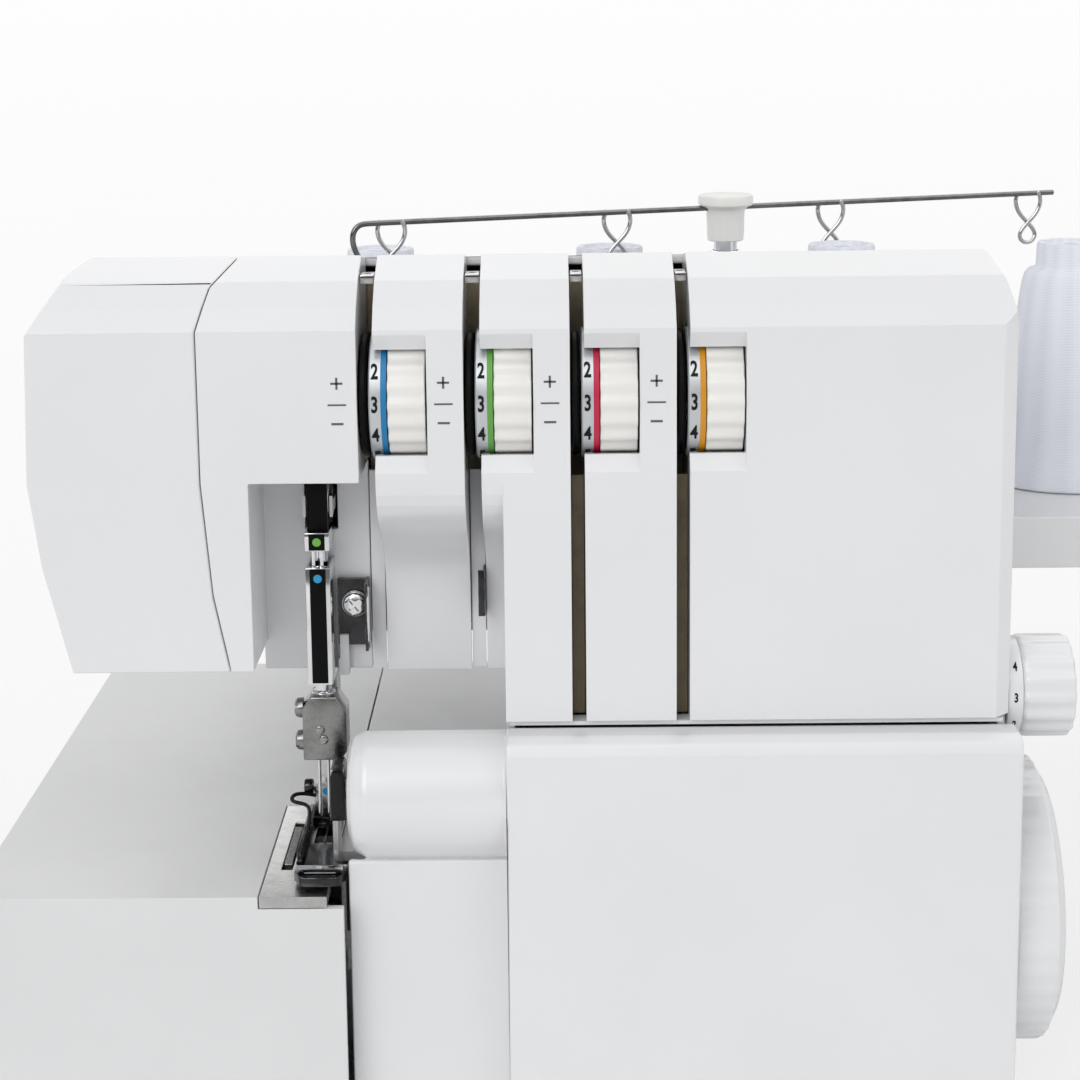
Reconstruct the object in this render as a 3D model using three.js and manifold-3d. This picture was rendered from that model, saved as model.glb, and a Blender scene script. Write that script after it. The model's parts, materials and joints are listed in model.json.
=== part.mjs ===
// An overlock machine (serger): a four-thread household model with an upright head, four tension dials,
// a hinged looper cover, a telescopic thread guide and four cones of thread on a stand behind the body.
// Millimetres. X runs to the right, Y to the back and Z up from the desk. Y = 0 is the front of the head.

import * as THREE from "three";
import { mergeVertices } from "three/addons/utils/BufferGeometryUtils.js";
import Module from "manifold-3d";

const wasm = await Module();
wasm.setup();

// ---------------------------------------------------------------- driving dimensions

const GAP = 0.3; // between two pieces that touch
const RUN = 0.5; // round anything that turns or slides
const WALL = 2.5; // moulded walls

const BODY_WIDTH = 279;
const BODY_DEPTH = 128;
const BODY_TOP = 279.5;
const BED_TOP = 100;
const BED_THICKNESS = 3.3;
const FOOT_HEIGHT = 8;
const FOOT_RADIUS = 9;
const PANEL_DEPTH = 40; // front mouldings, before the rear cover starts
const ROOF_CREST = 26; // distance of the highest line from the front
const ROOF_SLOPE = 0.17;
const REAR_DECK = 66; // base behind the body
const TABLE_OVERHANG = 20.5; // cloth plate beyond the face cover
const TABLE_FRONT = -12;
const SEWING_SPACE = 57; // bed to the recess wall's lower edge
const HEAD_CLEARANCE = 63; // bed to the bottom of the head
const SEAM_HEIGHT = 47.5; // bed to the lower edge of the front panels
const RECESS_DROP = 61.5; // top of the body to the ceiling of the needle recess
const RECESS_DEPTH = 32;

const FACE_WIDTH = 49;
const HEAD_WIDTH = 44.8;
const LEG_WIDTH = 13.5;
const SLOT_WIDTHS = [4.6, 4.7, 4, 3.8];
const STRIP_WIDTHS = [25.2, 25.1, 25.8];
const COLUMN_SETBACK = 6; // the column starts this far inside the second strip

const DIAL_RADIUS = 19.3;
const DIAL_WIDTH = 15.8;
const DIAL_DROP = 39.1; // top of the body to the dials' axis
const DIAL_AXIS_DEPTH = 17.8;
const DIAL_START = 3.2; // from the slot's left edge
const SCALE_WIDTH = 4.8; // numbered ring with its colour band
const WINDOW_HALF = 15.2;
const SCOOP_RADIUS = 33;
const RECESS_SKIRT = 3; // recess wall below the head
const SWEEP = 44; // height of the surface that falls back under the dials
const SWEEP_STEPS = 16;
const SCOOP_DEPTH = 6.6;
const LINER = 1.6;
const SPINDLE_RADIUS = 3;
const DISC_RADIUS = 18;
const DISC_THICKNESS = 2.2;

const NEEDLE_INSET = 14.3; // needle line from the head's right edge
const NEEDLE_DEPTH = 25;
const NEEDLE_SPACING = 2.7;
const NEEDLE_RADIUS = 0.6;
const NEEDLE_LENGTH = 22;
const NEEDLE_BAR_RADIUS = 2.4;
const CLAMP_HEIGHT = 19.5;
const CLAMP_BOTTOM = 29.5; // above the bed
const GUIDE_WIDTH = 7.4;
const PRESSER_DEPTH = 46;
const PRESSER_BAR_RADIUS = 3;
const LEVER_HALF = 0.45; // take-up levers, half their thickness
const PRESSURE_SCREW_RADIUS = 5;
const SOLE_THICKNESS = 2.8;
const SOLE_LIFT = 1.2; // sole above the bed, with the teeth between them

const SHAFT_DEPTH = 38;
const SHAFT_DROP = 22; // bed to the main shaft
const SHAFT_RADIUS = 5;
const PIVOT_PIN_RADIUS = 3; // loopers swing on it
const WHEEL_RADIUS = 43;
const WHEEL_WIDTH = 16;
const WHEEL_GAP = 2.5; // handwheel clear of the body
const DRIVE_PULLEY_RADIUS = 24;
const MOTOR_PULLEY_RADIUS = 8;
const PULLEY_WIDTH = 7;
const BELT_THICKNESS = 2;
const MOTOR_RADIUS = 27;
const MOTOR_LENGTH = 66;

const COVER_FRONT = -12;
const COVER_DEPTH = 13.5;
const COVER_BOTTOM = 14;
const COVER_SEAM = 2; // gap below the front panels
const COVER_HINGE_Z = 18;
const COVER_HINGE_Y = -3;
const BED_OVERHANG = 16; // cloth plate and bed cover behind the base
const DRUM_RADIUS = 20;
const DRUM_LENGTH = 46;
const DRUM_SETBACK = 0.6; // drum behind the cover's face
const DRUM_REAR = 5; // open back of the drum, in front of the knife
const DRUM_HEIGHT = 24.4; // bed to the drum's axis

const TRAY_LEFT = 152; // from the pole
const TRAY_RIGHT = 158;
const TRAY_DEPTH = 107.7;
const TRAY_TOP = 175;
const TRAY_HEIGHT = 18;
const POLE_INSET = 67.5; // from the body's right side
const POLE_DEPTH = 62; // behind the body
const POLE_RADII = [6.6, 5.4, 4.2];
const POLE_WALL = 0.8;
const POLE_TOP = 263;
const GUIDE_HEIGHT = 276;
const WIRE_RADIUS = 1;
const CONE_PLACES = [-125, -42, 42, 125]; // from the pole
const CONE_RADIUS = 29;
const PIN_RADIUS = 4;
const GUIDE_TURN = -19; // degrees: the bar's left end stands forward
const BAR_END = 136;

const STITCH_DIAL_RADIUS = 15;
const FEED_DIAL_RADIUS = 11;

// ---------------------------------------------------------------- places that follow from them

const LEFT = -BODY_WIDTH / 2;
const RIGHT = BODY_WIDTH / 2;
const TABLE_LEFT = LEFT - TABLE_OVERHANG;
const BASE_REAR = BODY_DEPTH + REAR_DECK;
const BED_BOTTOM = BED_TOP - BED_THICKNESS;
const SEAM_Z = BED_TOP + SEAM_HEIGHT;
const HEAD_BOTTOM = BED_TOP + HEAD_CLEARANCE;
const RECESS_BOTTOM = BED_TOP + SEWING_SPACE - RECESS_SKIRT;
const RECESS_TOP = BODY_TOP - RECESS_DROP;
const FACET_Z = BODY_TOP - 18;
const HEAD_LEFT = LEFT + FACE_WIDTH;
const HEAD_RIGHT = HEAD_LEFT + HEAD_WIDTH;
const LEG_RIGHT = HEAD_LEFT + LEG_WIDTH;
const DIAL_Z = BODY_TOP - DIAL_DROP;

// The slots and the strips between them, from the head's right edge.
const slots = [];
const strips = [];
let edge = HEAD_RIGHT;
SLOT_WIDTHS.forEach((width, k) => {
  slots.push({ left: edge, right: edge + width });
  edge += width;
  if (k < STRIP_WIDTHS.length) {
    strips.push({ left: edge, right: edge + STRIP_WIDTHS[k] });
    edge += STRIP_WIDTHS[k];
  }
});
strips.push({ left: edge, right: RIGHT });
const COLUMN_LEFT = strips[1].left + COLUMN_SETBACK;
const dials = slots.map(({ left }) => {
  const start = left + DIAL_START;
  return { left: start, right: start + DIAL_WIDTH };
});

const NEEDLE_X = HEAD_RIGHT - NEEDLE_INSET;
const LEVER_X = PRESSER_BAR_RADIUS + RUN + LEVER_HALF; // take-up levers pass the presser bar
const PLATE_RIGHT = NEEDLE_X + 3.2;
const PLATE_LEFT = NEEDLE_X - 16.3;
const SHAFT_Z = BED_TOP - SHAFT_DROP;
const CLAMP_Z = BED_TOP + CLAMP_BOTTOM;
const POLE_X = RIGHT - POLE_INSET;
const POLE_Y = BODY_DEPTH + POLE_DEPTH;
const MOTOR_Y = BASE_REAR - 44;
const MOTOR_Z = FOOT_HEIGHT + 44;
const PULLEY_X = RIGHT - 22;
const PIVOT_X = HEAD_RIGHT + 10.7; // looper pivot
const PIVOT_Z = BED_TOP - 62;
const ROCKER_Y = 72;
const ROCKER_Z = RECESS_TOP - 12;
const DRUM_Z = BED_TOP + DRUM_HEIGHT;
const DRUM_AXIS_DEPTH = COVER_FRONT + DRUM_SETBACK + DRUM_RADIUS;
const COVER_TOP = SEAM_Z - COVER_SEAM;
const SIDE = RIGHT + GAP; // where pieces on the right wall start

// ---------------------------------------------------------------- solids

// A closed three.js geometry as a solid.
function solid(geometry) {
  geometry.deleteAttribute("normal");
  geometry.deleteAttribute("uv");
  const merged = mergeVertices(geometry, 1e-4);
  return new wasm.Manifold(
    new wasm.Mesh({
      numProp: 3,
      vertProperties: merged.attributes.position.array,
      triVerts: new Uint32Array(merged.index.array),
    }),
  );
}

const join = (...parts) => parts.reduce((all, part) => all.add(part));
const cut = (body, ...tools) => tools.reduce((left, tool) => left.subtract(tool), body);

function box(x0, x1, y0, y1, z0, z1) {
  const geometry = new THREE.BoxGeometry(x1 - x0, y1 - y0, z1 - z0);
  return solid(geometry.translate((x0 + x1) / 2, (y0 + y1) / 2, (z0 + z1) / 2));
}

function extruded(points, depth, holes = []) {
  const shape = new THREE.Shape(points.map(([a, b]) => new THREE.Vector2(a, b)));
  const line = (hole) => new THREE.Path(hole.map(([a, b]) => new THREE.Vector2(a, b)));
  holes.forEach((hole) => shape.holes.push(line(hole)));
  return new THREE.ExtrudeGeometry(shape, { depth, bevelEnabled: false });
}

// Prisms along X, Y and Z: their outlines are in YZ, XZ and XY.
function prismX(points, x0, x1, holes) {
  const turn = new THREE.Matrix4().set(0, 0, 1, x0, 1, 0, 0, 0, 0, 1, 0, 0, 0, 0, 0, 1);
  return solid(extruded(points, x1 - x0, holes).applyMatrix4(turn));
}

function prismY(points, y0, y1, holes) {
  const turn = new THREE.Matrix4().set(1, 0, 0, 0, 0, 0, -1, y1, 0, 1, 0, 0, 0, 0, 0, 1);
  return solid(extruded(points, y1 - y0, holes).applyMatrix4(turn));
}

function prismZ(points, z0, z1, holes) {
  return solid(extruded(points, z1 - z0, holes).translate(0, 0, z0));
}

// A solid of revolution about the line through `centre` along an axis, from [radius, distance] points.
function turned(axis, centre, profile, segments = 24) {
  const points = profile.map(([r, h]) => new THREE.Vector2(r, h));
  const geometry = new THREE.LatheGeometry(points, segments);
  if (axis === "x") geometry.rotateZ(-Math.PI / 2);
  if (axis === "z") geometry.rotateX(Math.PI / 2);
  return solid(geometry.translate(...centre));
}

function rod(axis, centre, radius, length, segments = 24) {
  return turned(axis, centre, [[0, 0], [radius, 0], [radius, length], [0, length]], segments);
}

function sleeve(axis, centre, outer, inner, length, segments = 24) {
  const ring = [[inner, 0], [outer, 0], [outer, length], [inner, length], [inner, 0]];
  return turned(axis, centre, ring, segments);
}

// A convex outline, counter-clockwise, moved in by a wall's thickness.
function inset(points, wall) {
  const lines = points.map(([ax, ay], k) => {
    const [bx, by] = points[(k + 1) % points.length];
    const length = Math.hypot(bx - ax, by - ay);
    const [nx, ny] = [-(by - ay) / length, (bx - ax) / length];
    return { nx, ny, d: nx * ax + ny * ay + wall };
  });
  return lines.map((b, k) => {
    const a = lines[(k + lines.length - 1) % lines.length];
    const det = a.nx * b.ny - b.nx * a.ny;
    return [(a.d * b.ny - b.d * a.ny) / det, (a.nx * b.d - b.nx * a.d) / det];
  });
}

const REACH = 600;

// A faceted body: what a front outline (XZ) and a side outline (YZ) have in common.
function faceted(front, side) {
  return prismY(front, -REACH, REACH).intersect(prismX(side, -REACH, REACH));
}

// The same body hollowed by a wall and opened along a direction.
function hollow(front, side, open) {
  const core = faceted(inset(front, WALL), inset(side, WALL));
  return cut(faceted(front, side), core, core.translate(open));
}

// Round-ended outline about two circles: the convex hull of both.
function beltLine([ax, ay], ra, [bx, by], rb, steps = 12) {
  const angle = Math.atan2(by - ay, bx - ax);
  const lean = Math.acos((ra - rb) / Math.hypot(bx - ax, by - ay));
  const arc = (cx, cy, r, from, to) =>
    Array.from({ length: steps + 1 }, (_, k) => {
      const t = from + ((to - from) * k) / steps;
      return [cx + r * Math.cos(t), cy + r * Math.sin(t)];
    });
  return [
    ...arc(bx, by, rb, angle - lean, angle + lean),
    ...arc(ax, ay, ra, angle + lean, angle - lean + 2 * Math.PI),
  ];
}

// ---------------------------------------------------------------- materials and the machine

const finish = (color, roughness, metalness = 0) =>
  new THREE.MeshStandardMaterial({ color, roughness, metalness });

const white = finish(0xe2e2e6, 0.28);
const bedGrey = finish(0xd4d5d8, 0.35);
const black = finish(0x16161a, 0.4);
const chrome = finish(0xcfd2d6, 0.12, 1);
const steel = finish(0xa4a6a8, 0.32, 1);
const darkSteel = finish(0x3a3b3e, 0.35, 0.9);
const casting = finish(0x8c8f92, 0.55, 0.7);
const rubber = finish(0x202022, 0.85);
const thread = finish(0xdfe4f2, 0.8);
const bandColours = [0x1b87b5, 0x6cab4f, 0xc8204f, 0xd9a021].map((c) => finish(c, 0.35));

const machine = new THREE.Group();
machine.name = "overlock_machine";

function add(name, body, material, parent = machine) {
  const { vertProperties, triVerts, numProp } = body.getMesh();
  const geometry = new THREE.BufferGeometry();
  const positions = new THREE.BufferAttribute(new Float32Array(vertProperties), numProp);
  geometry.setAttribute("position", positions);
  geometry.setIndex(new THREE.BufferAttribute(new Uint32Array(triVerts), 1));
  geometry.computeVertexNormals();
  const mesh = new THREE.Mesh(geometry, material);
  mesh.name = name;
  parent.add(mesh);
}

// ---------------------------------------------------------------- outlines of the body

const roofZ = (y) => BODY_TOP - ROOF_SLOPE * (y - ROOF_CREST);

// Side outline of the body, from the front face over the facets to a rear wall.
function sideOutline(bottom, rear) {
  return [
    [0, bottom],
    [rear, bottom],
    [rear, roofZ(rear)],
    [ROOF_CREST, BODY_TOP],
    [12, BODY_TOP - 5.6],
    [4.5, BODY_TOP - 12],
    [0, FACET_Z],
  ];
}

// The seam between face cover and head, from the bottom up.
function seamLine(shift) {
  return [
    [HEAD_LEFT + 7.1, HEAD_BOTTOM - 1],
    [HEAD_LEFT + 2.6, HEAD_BOTTOM + 22],
    [HEAD_LEFT, RECESS_TOP],
    [HEAD_LEFT, FACET_Z],
    [HEAD_LEFT + 3, BODY_TOP - 7],
    [HEAD_LEFT + 10.5, BODY_TOP + 1],
  ].map(([x, z]) => [x + shift, z]);
}

// The right-hand edge of the body, from the bottom up.
function rightEdge(bottom) {
  return [
    [RIGHT, bottom],
    [RIGHT, FACET_Z],
    [RIGHT - 2.3, BODY_TOP - 7],
    [RIGHT - 6.3, BODY_TOP + 1],
  ];
}

// ---------------------------------------------------------------- front mouldings

// A hollow front panel between two X values, open at the back.
function panel(x0, x1, bottom) {
  const top = BODY_TOP + 1;
  const front = [[x0, bottom], [x1, bottom], [x1, top], [x0, top]];
  return hollow(front, sideOutline(bottom, PANEL_DEPTH), [0, 2 * WALL, 0]);
}

// Room for the spindle and its arms, from its axis to the open back of the panels.
function spindleTunnel(x0, x1) {
  const half = SPINDLE_RADIUS + RUN;
  return box(x0, x1, DIAL_AXIS_DEPTH - half, PANEL_DEPTH + 1, DIAL_Z - half, DIAL_Z + half);
}

// The window of one tension dial with its scoop, cut into the panel that starts at `left`.
function withDialWindow(shell, left, dial) {
  const right = dial.right + RUN;
  const reach = right - left;
  const scoopAxis = SCOOP_DEPTH - SCOOP_RADIUS;
  const skin = 0.5; // the liner starts inside the front wall
  const linerRange = box(left, right + LINER, skin, 12, DIAL_Z - 22, DIAL_Z + 20);
  const liner = rod("x", [left, scoopAxis, DIAL_Z], SCOOP_RADIUS + LINER, reach + LINER, 48);
  const cheekHalf = DIAL_RADIUS + 1.7;
  const cheek = box(right, right + LINER, skin, PANEL_DEPTH - 1, DIAL_Z - cheekHalf, DIAL_Z + cheekHalf);
  return cut(
    join(shell, liner.intersect(linerRange), cheek),
    rod("x", [left - 1, scoopAxis, DIAL_Z], SCOOP_RADIUS, reach + 1, 48),
    box(left - 1, right, -1, PANEL_DEPTH + 1, DIAL_Z - WINDOW_HALF, DIAL_Z + WINDOW_HALF),
    rod("x", [left - 1, DIAL_AXIS_DEPTH, DIAL_Z], DIAL_RADIUS + RUN, reach + 1, 32),
    spindleTunnel(left - 1, RIGHT - 2 * WALL),
  );
}

// The surface that falls back in an S from the front face to the recess wall.
function fallBack(x0, x1) {
  const face = RECESS_DEPTH - 2;
  const sweep = new THREE.CubicBezierCurve(
    new THREE.Vector2(0, RECESS_TOP),
    new THREE.Vector2(2, RECESS_TOP - SWEEP / 2),
    new THREE.Vector2(face, RECESS_TOP - SWEEP / 3),
    new THREE.Vector2(face, RECESS_TOP - SWEEP),
  );
  const line = [
    [face + WALL, RECESS_TOP + 0.5],
    [0, RECESS_TOP + 0.5],
    ...sweep.getPoints(SWEEP_STEPS).map(({ x, y }) => [x, y]),
    [face, RECESS_BOTTOM],
    [face + WALL, RECESS_BOTTOM],
  ];
  return prismX(line, x0, x1);
}

function headFront() {
  const front = [
    ...seamLine(GAP / 2).reverse(),
    [LEG_RIGHT, HEAD_BOTTOM - 1],
    [LEG_RIGHT, RECESS_TOP],
    [HEAD_RIGHT, RECESS_TOP],
    [HEAD_RIGHT, BODY_TOP + 1],
  ];
  const side = sideOutline(HEAD_BOTTOM, PANEL_DEPTH);
  const inside = inset(sideOutline(RECESS_TOP, PANEL_DEPTH + 10), WALL);
  const core = prismX(inside, HEAD_LEFT + 13, HEAD_RIGHT - WALL);
  const [floor, ceiling] = [RECESS_TOP + WALL, FACET_Z - WALL];
  const pocket = box(HEAD_LEFT + 3.5, HEAD_LEFT + 14, WALL, PANEL_DEPTH + 1, floor, ceiling);
  const back = RECESS_DEPTH + WALL;
  const wall = box(LEG_RIGHT - 1, HEAD_RIGHT, RECESS_DEPTH, back, RECESS_BOTTOM, RECESS_TOP + 1);
  const slot = LEVER_X + LEVER_HALF + RUN;
  return cut(
    join(cut(faceted(front, side), core, pocket), wall),
    rod("z", [NEEDLE_X, NEEDLE_DEPTH, RECESS_TOP - 2], NEEDLE_BAR_RADIUS + RUN, 2 * WALL + 2, 16),
    box(NEEDLE_X - slot, NEEDLE_X + slot, RECESS_DEPTH - 1, PANEL_DEPTH, RECESS_TOP - 21, RECESS_TOP - 2),
    spindleTunnel(HEAD_RIGHT - 2 * WALL, HEAD_RIGHT + 1),
  );
}

function tensionStrip(k) {
  const { left, right } = strips[k];
  let shell = panel(left, right, k === 2 ? SEAM_Z : RECESS_TOP);
  if (k === 0) shell = join(shell, fallBack(left, right));
  if (k === 1) {
    const front = panel(COLUMN_LEFT, right, SEAM_Z);
    const [x0, back] = [COLUMN_LEFT + WALL, PANEL_DEPTH + 1];
    const floor = box(x0, right - WALL, WALL, back, RECESS_TOP - 1, RECESS_TOP + 2 * WALL);
    const inner = box(COLUMN_LEFT - 1, x0 + 1, WALL, back, RECESS_TOP + WALL, FACET_Z - 8);
    shell = cut(join(shell, front, fallBack(left, COLUMN_LEFT + 0.5)), floor, inner);
  }
  return withDialWindow(shell, left, dials[k]);
}

function rightPanel() {
  const { left } = strips[3];
  const front = [...rightEdge(SEAM_Z), [left, BODY_TOP + 1], [left, SEAM_Z]];
  const shell = hollow(front, sideOutline(SEAM_Z, PANEL_DEPTH), [0, 2 * WALL, 0]);
  return withDialWindow(shell, left, dials[3]);
}

// ---------------------------------------------------------------- covers behind the front

function faceCover() {
  const outside = [
    [LEFT + 17.5, BODY_TOP + 1],
    [LEFT + 10.4, BODY_TOP - 4],
    [LEFT + 1.3, BODY_TOP - 19],
    [LEFT, RECESS_TOP],
    [LEFT + 3.2, HEAD_BOTTOM + 31],
    [LEFT + 10.9, HEAD_BOTTOM - 1],
  ];
  const seam = seamLine(-GAP / 2);
  const straight = [...outside, seam[0], seam[seam.length - 1]];
  const side = sideOutline(HEAD_BOTTOM, BODY_DEPTH);
  const core = faceted(inset(straight, WALL), inset(side, WALL));
  return cut(faceted([...outside, ...seam], side), core, core.translate([2 * WALL, 0, 0]));
}

function rearCover() {
  const seam = seamLine(GAP / 2);
  const front = [...seam.reverse(), ...rightEdge(HEAD_BOTTOM - 1)];
  const side = sideOutline(HEAD_BOTTOM, BODY_DEPTH);
  const start = PANEL_DEPTH + GAP;
  const room = [[HEAD_LEFT + 8, HEAD_BOTTOM], ...rightEdge(HEAD_BOTTOM), [HEAD_LEFT + 11, BODY_TOP + 1]];
  const core = faceted(inset(room, WALL), inset(side, WALL));
  const [low, high] = [HEAD_BOTTOM - 1, HEAD_BOTTOM + WALL + 1];
  const [columnFrom, columnTo] = [COLUMN_LEFT + WALL + 2, RIGHT - WALL - 2];
  const barHalf = 2 * PRESSER_BAR_RADIUS; // room for the presser bar
  const screwHole = rod("z", [NEEDLE_X, PRESSER_DEPTH, BODY_TOP - 20], PRESSURE_SCREW_RADIUS + 1.5, 30);
  return cut(
    faceted(front, side),
    core,
    box(-REACH, REACH, -REACH, start, 0, REACH),
    box(columnFrom, columnTo, start - 1, BODY_DEPTH - WALL, low, high),
    box(NEEDLE_X - barHalf, NEEDLE_X + barHalf, start - 1, PRESSER_DEPTH + barHalf, low, high),
    screwHole,
  );
}

// Left, right and rear walls of the column that carries the head.
function columnHousing() {
  const bottom = BED_TOP - BED_THICKNESS + GAP;
  const [low, high] = [SEAM_Z - GAP, HEAD_BOTTOM - GAP];
  const step = PANEL_DEPTH + 2;
  const wallAt = (x) =>
    join(
      box(x, x + WALL, 8, BODY_DEPTH, bottom, low),
      box(x, x + WALL, step, BODY_DEPTH, low - 1, high),
    );
  return join(
    box(COLUMN_LEFT, RIGHT, BODY_DEPTH - WALL, BODY_DEPTH, bottom, high),
    wallAt(COLUMN_LEFT),
    wallAt(RIGHT - WALL),
  );
}

// ---------------------------------------------------------------- base and bed

function basePan() {
  const left = TABLE_LEFT + 4;
  const [front, floor, top] = [4, FOOT_HEIGHT + WALL, BED_BOTTOM - GAP];
  const vent = (k) => box(20 + 8 * k, 24 + 8 * k, BASE_REAR - WALL - 1, BASE_REAR + 1, 40, 70);
  const pan = cut(
    box(left, RIGHT, front, BASE_REAR, FOOT_HEIGHT, top),
    box(left + WALL, RIGHT - WALL, front + WALL, BASE_REAR - WALL, floor, top + 1),
    box(PLATE_LEFT, RIGHT - WALL, front - 1, front + WALL + 1, 20, top + 1),
    rod("x", [RIGHT - 5, SHAFT_DEPTH, SHAFT_Z], SHAFT_RADIUS + RUN, 10, 16),
    ...Array.from({ length: 10 }, (_, k) => vent(k)),
  );
  const deck = box(COLUMN_LEFT, RIGHT, BODY_DEPTH + GAP, BASE_REAR, top - WALL, top);
  return join(pan, deck);
}

function clothPlate() {
  const skirt = 20;
  const rear = BASE_REAR + BED_OVERHANG;
  const besideDrum = COLUMN_LEFT - DRUM_LENGTH - 3 * GAP;
  const step = 60;
  return join(
    box(TABLE_LEFT, PLATE_LEFT - GAP, TABLE_FRONT, step, BED_BOTTOM, BED_TOP),
    box(TABLE_LEFT, PLATE_RIGHT - GAP, step, rear, BED_BOTTOM, BED_TOP),
    box(TABLE_LEFT, TABLE_LEFT + WALL, TABLE_FRONT, rear, skirt, BED_TOP),
    box(TABLE_LEFT, besideDrum, TABLE_FRONT, TABLE_FRONT + WALL, skirt, BED_BOTTOM - GAP),
    box(TABLE_LEFT, PLATE_LEFT - GAP, TABLE_FRONT, TABLE_FRONT + WALL, skirt, BED_TOP),
    box(TABLE_LEFT + 1, TABLE_LEFT + 60, rear - WALL + 1, rear, skirt, BED_TOP),
  );
}

function bedCover() {
  return box(PLATE_RIGHT + GAP, COLUMN_LEFT - GAP, 22, BASE_REAR + BED_OVERHANG, BED_BOTTOM, BED_TOP);
}

const FEED_ROWS = [-10.5, -6.2]; // feed dog rows from the needle line

function needlePlate() {
  const plate = box(PLATE_LEFT, PLATE_RIGHT, TABLE_FRONT, 60 - GAP, BED_BOTTOM, BED_TOP);
  const needleSlot = box(NEEDLE_X - 3.4, NEEDLE_X + 2.2, 21.5, 28.5, BED_BOTTOM - 1, BED_TOP + 1);
  const feedSlots = FEED_ROWS.map((x) =>
    box(NEEDLE_X + x - 1.6, NEEDLE_X + x + 1.6, 8, 45, BED_BOTTOM - 1, BED_TOP + 1),
  );
  return cut(plate, needleSlot, ...feedSlots);
}

function feedDog() {
  const block = box(NEEDLE_X - 13, NEEDLE_X - 4.6, 12, 41, BED_BOTTOM - 12, BED_BOTTOM - 3);
  const rows = FEED_ROWS.map((x) => {
    const teeth = [[12, BED_BOTTOM - 4], [41, BED_BOTTOM - 4], [41, BED_TOP]];
    for (let y = 41; y > 12.5; y -= 2.9) teeth.push([y - 1.2, BED_TOP + 0.7], [y - 2.9, BED_TOP]);
    return prismX(teeth, NEEDLE_X + x - 1.1, NEEDLE_X + x + 1.1);
  });
  return join(block, ...rows);
}

// ---------------------------------------------------------------- chassis and drive

function chassis() {
  const floor = FOOT_HEIGHT + WALL + GAP;
  const web = (x) =>
    cut(
      box(x, x + 4, 18, 57, floor, BED_BOTTOM - 4),
      rod("x", [x - 1, SHAFT_DEPTH, SHAFT_Z], SHAFT_RADIUS + RUN, 6, 16),
    );
  const bracket = (z) =>
    cut(
      join(
        box(NEEDLE_X - 9, HEAD_RIGHT - 2, PANEL_DEPTH + 1, 61, z, z + 8),
        box(HEAD_RIGHT - 3, strips[1].left + 1, 50, 61, z, z + 8),
      ),
      rod("z", [NEEDLE_X, PRESSER_DEPTH, z - 1], PRESSER_BAR_RADIUS + RUN, 10, 16),
    );
  const pin = rod("y", [PIVOT_X, 10, PIVOT_Z], PIVOT_PIN_RADIUS, 47, 16);
  const shaftWall = box(RIGHT - 32, RIGHT - 28, 60, 80, ROCKER_Z - 12, ROCKER_Z + 10);
  return cut(
    join(
      box(LEFT + 10, RIGHT - 10, 10, BASE_REAR - 10, floor, floor + 4),
      box(PIVOT_X - 25, COLUMN_LEFT + 10, 56, 61, floor, BED_BOTTOM - 30),
      box(COLUMN_LEFT + 5, RIGHT - 28, 56, 61, floor, ROCKER_Z + 24),
      box(strips[1].left, COLUMN_LEFT + 6, 56, 61, HEAD_BOTTOM + 6, ROCKER_Z + 24),
      web(COLUMN_LEFT + 5),
      web(RIGHT - 34),
      bracket(HEAD_BOTTOM + 8),
      bracket(RECESS_TOP + 4),
      pin,
      shaftWall,
    ),
    rod("x", [RIGHT - 40, ROCKER_Y, ROCKER_Z], 4 + RUN, 20, 16),
  );
}

// The main shaft with its drive pulley keyed on.
function mainShaft() {
  const from = COLUMN_LEFT - 10;
  return join(
    rod("x", [from, SHAFT_DEPTH, SHAFT_Z], SHAFT_RADIUS, RIGHT + WHEEL_GAP + 12 - from, 20),
    turned("x", [PULLEY_X, SHAFT_DEPTH, SHAFT_Z], grooved(DRIVE_PULLEY_RADIUS, SHAFT_RADIUS - 1), 32),
  );
}

// Profile of a pulley with a V groove.
function grooved(radius, bore) {
  const [rim, lip, width] = [radius + 1.5, 1, PULLEY_WIDTH];
  return [
    [bore, 0], [rim, 0], [rim, lip], [radius, width / 2],
    [rim, width - lip], [rim, width], [bore, width], [bore, 0],
  ];
}

function handwheel() {
  const rim = WHEEL_RADIUS;
  const profile = [
    [SHAFT_RADIUS + GAP, 0], [14, 0], [14, 3], [rim - 8, 3], [rim - 5, 0], [rim - 1, 0], [rim, 2],
    [rim, WHEEL_WIDTH - 5], [rim - 5, WHEEL_WIDTH], [0, WHEEL_WIDTH],
    [0, 12 + GAP], [SHAFT_RADIUS + GAP, 12 + GAP], [SHAFT_RADIUS + GAP, 0],
  ];
  return turned("x", [RIGHT + WHEEL_GAP, SHAFT_DEPTH, SHAFT_Z], profile, 32);
}

function motor() {
  const start = RIGHT - 110;
  const floor = FOOT_HEIGHT + WALL + GAP + 4;
  return join(
    rod("x", [start, MOTOR_Y, MOTOR_Z], MOTOR_RADIUS, MOTOR_LENGTH, 24),
    rod("x", [start + MOTOR_LENGTH - 1, MOTOR_Y, MOTOR_Z], 12, 5, 16),
    box(start + 12, start + MOTOR_LENGTH - 12, MOTOR_Y - 18, MOTOR_Y + 18, floor + GAP, MOTOR_Z - 20),
  );
}

function motorPulley() {
  const start = RIGHT - 110 + MOTOR_LENGTH + 4 + RUN;
  const shaft = rod("x", [start, MOTOR_Y, MOTOR_Z], 3, PULLEY_X + PULLEY_WIDTH + 1 - start, 12);
  return join(shaft, turned("x", [PULLEY_X, MOTOR_Y, MOTOR_Z], grooved(MOTOR_PULLEY_RADIUS, 1), 20));
}

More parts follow.
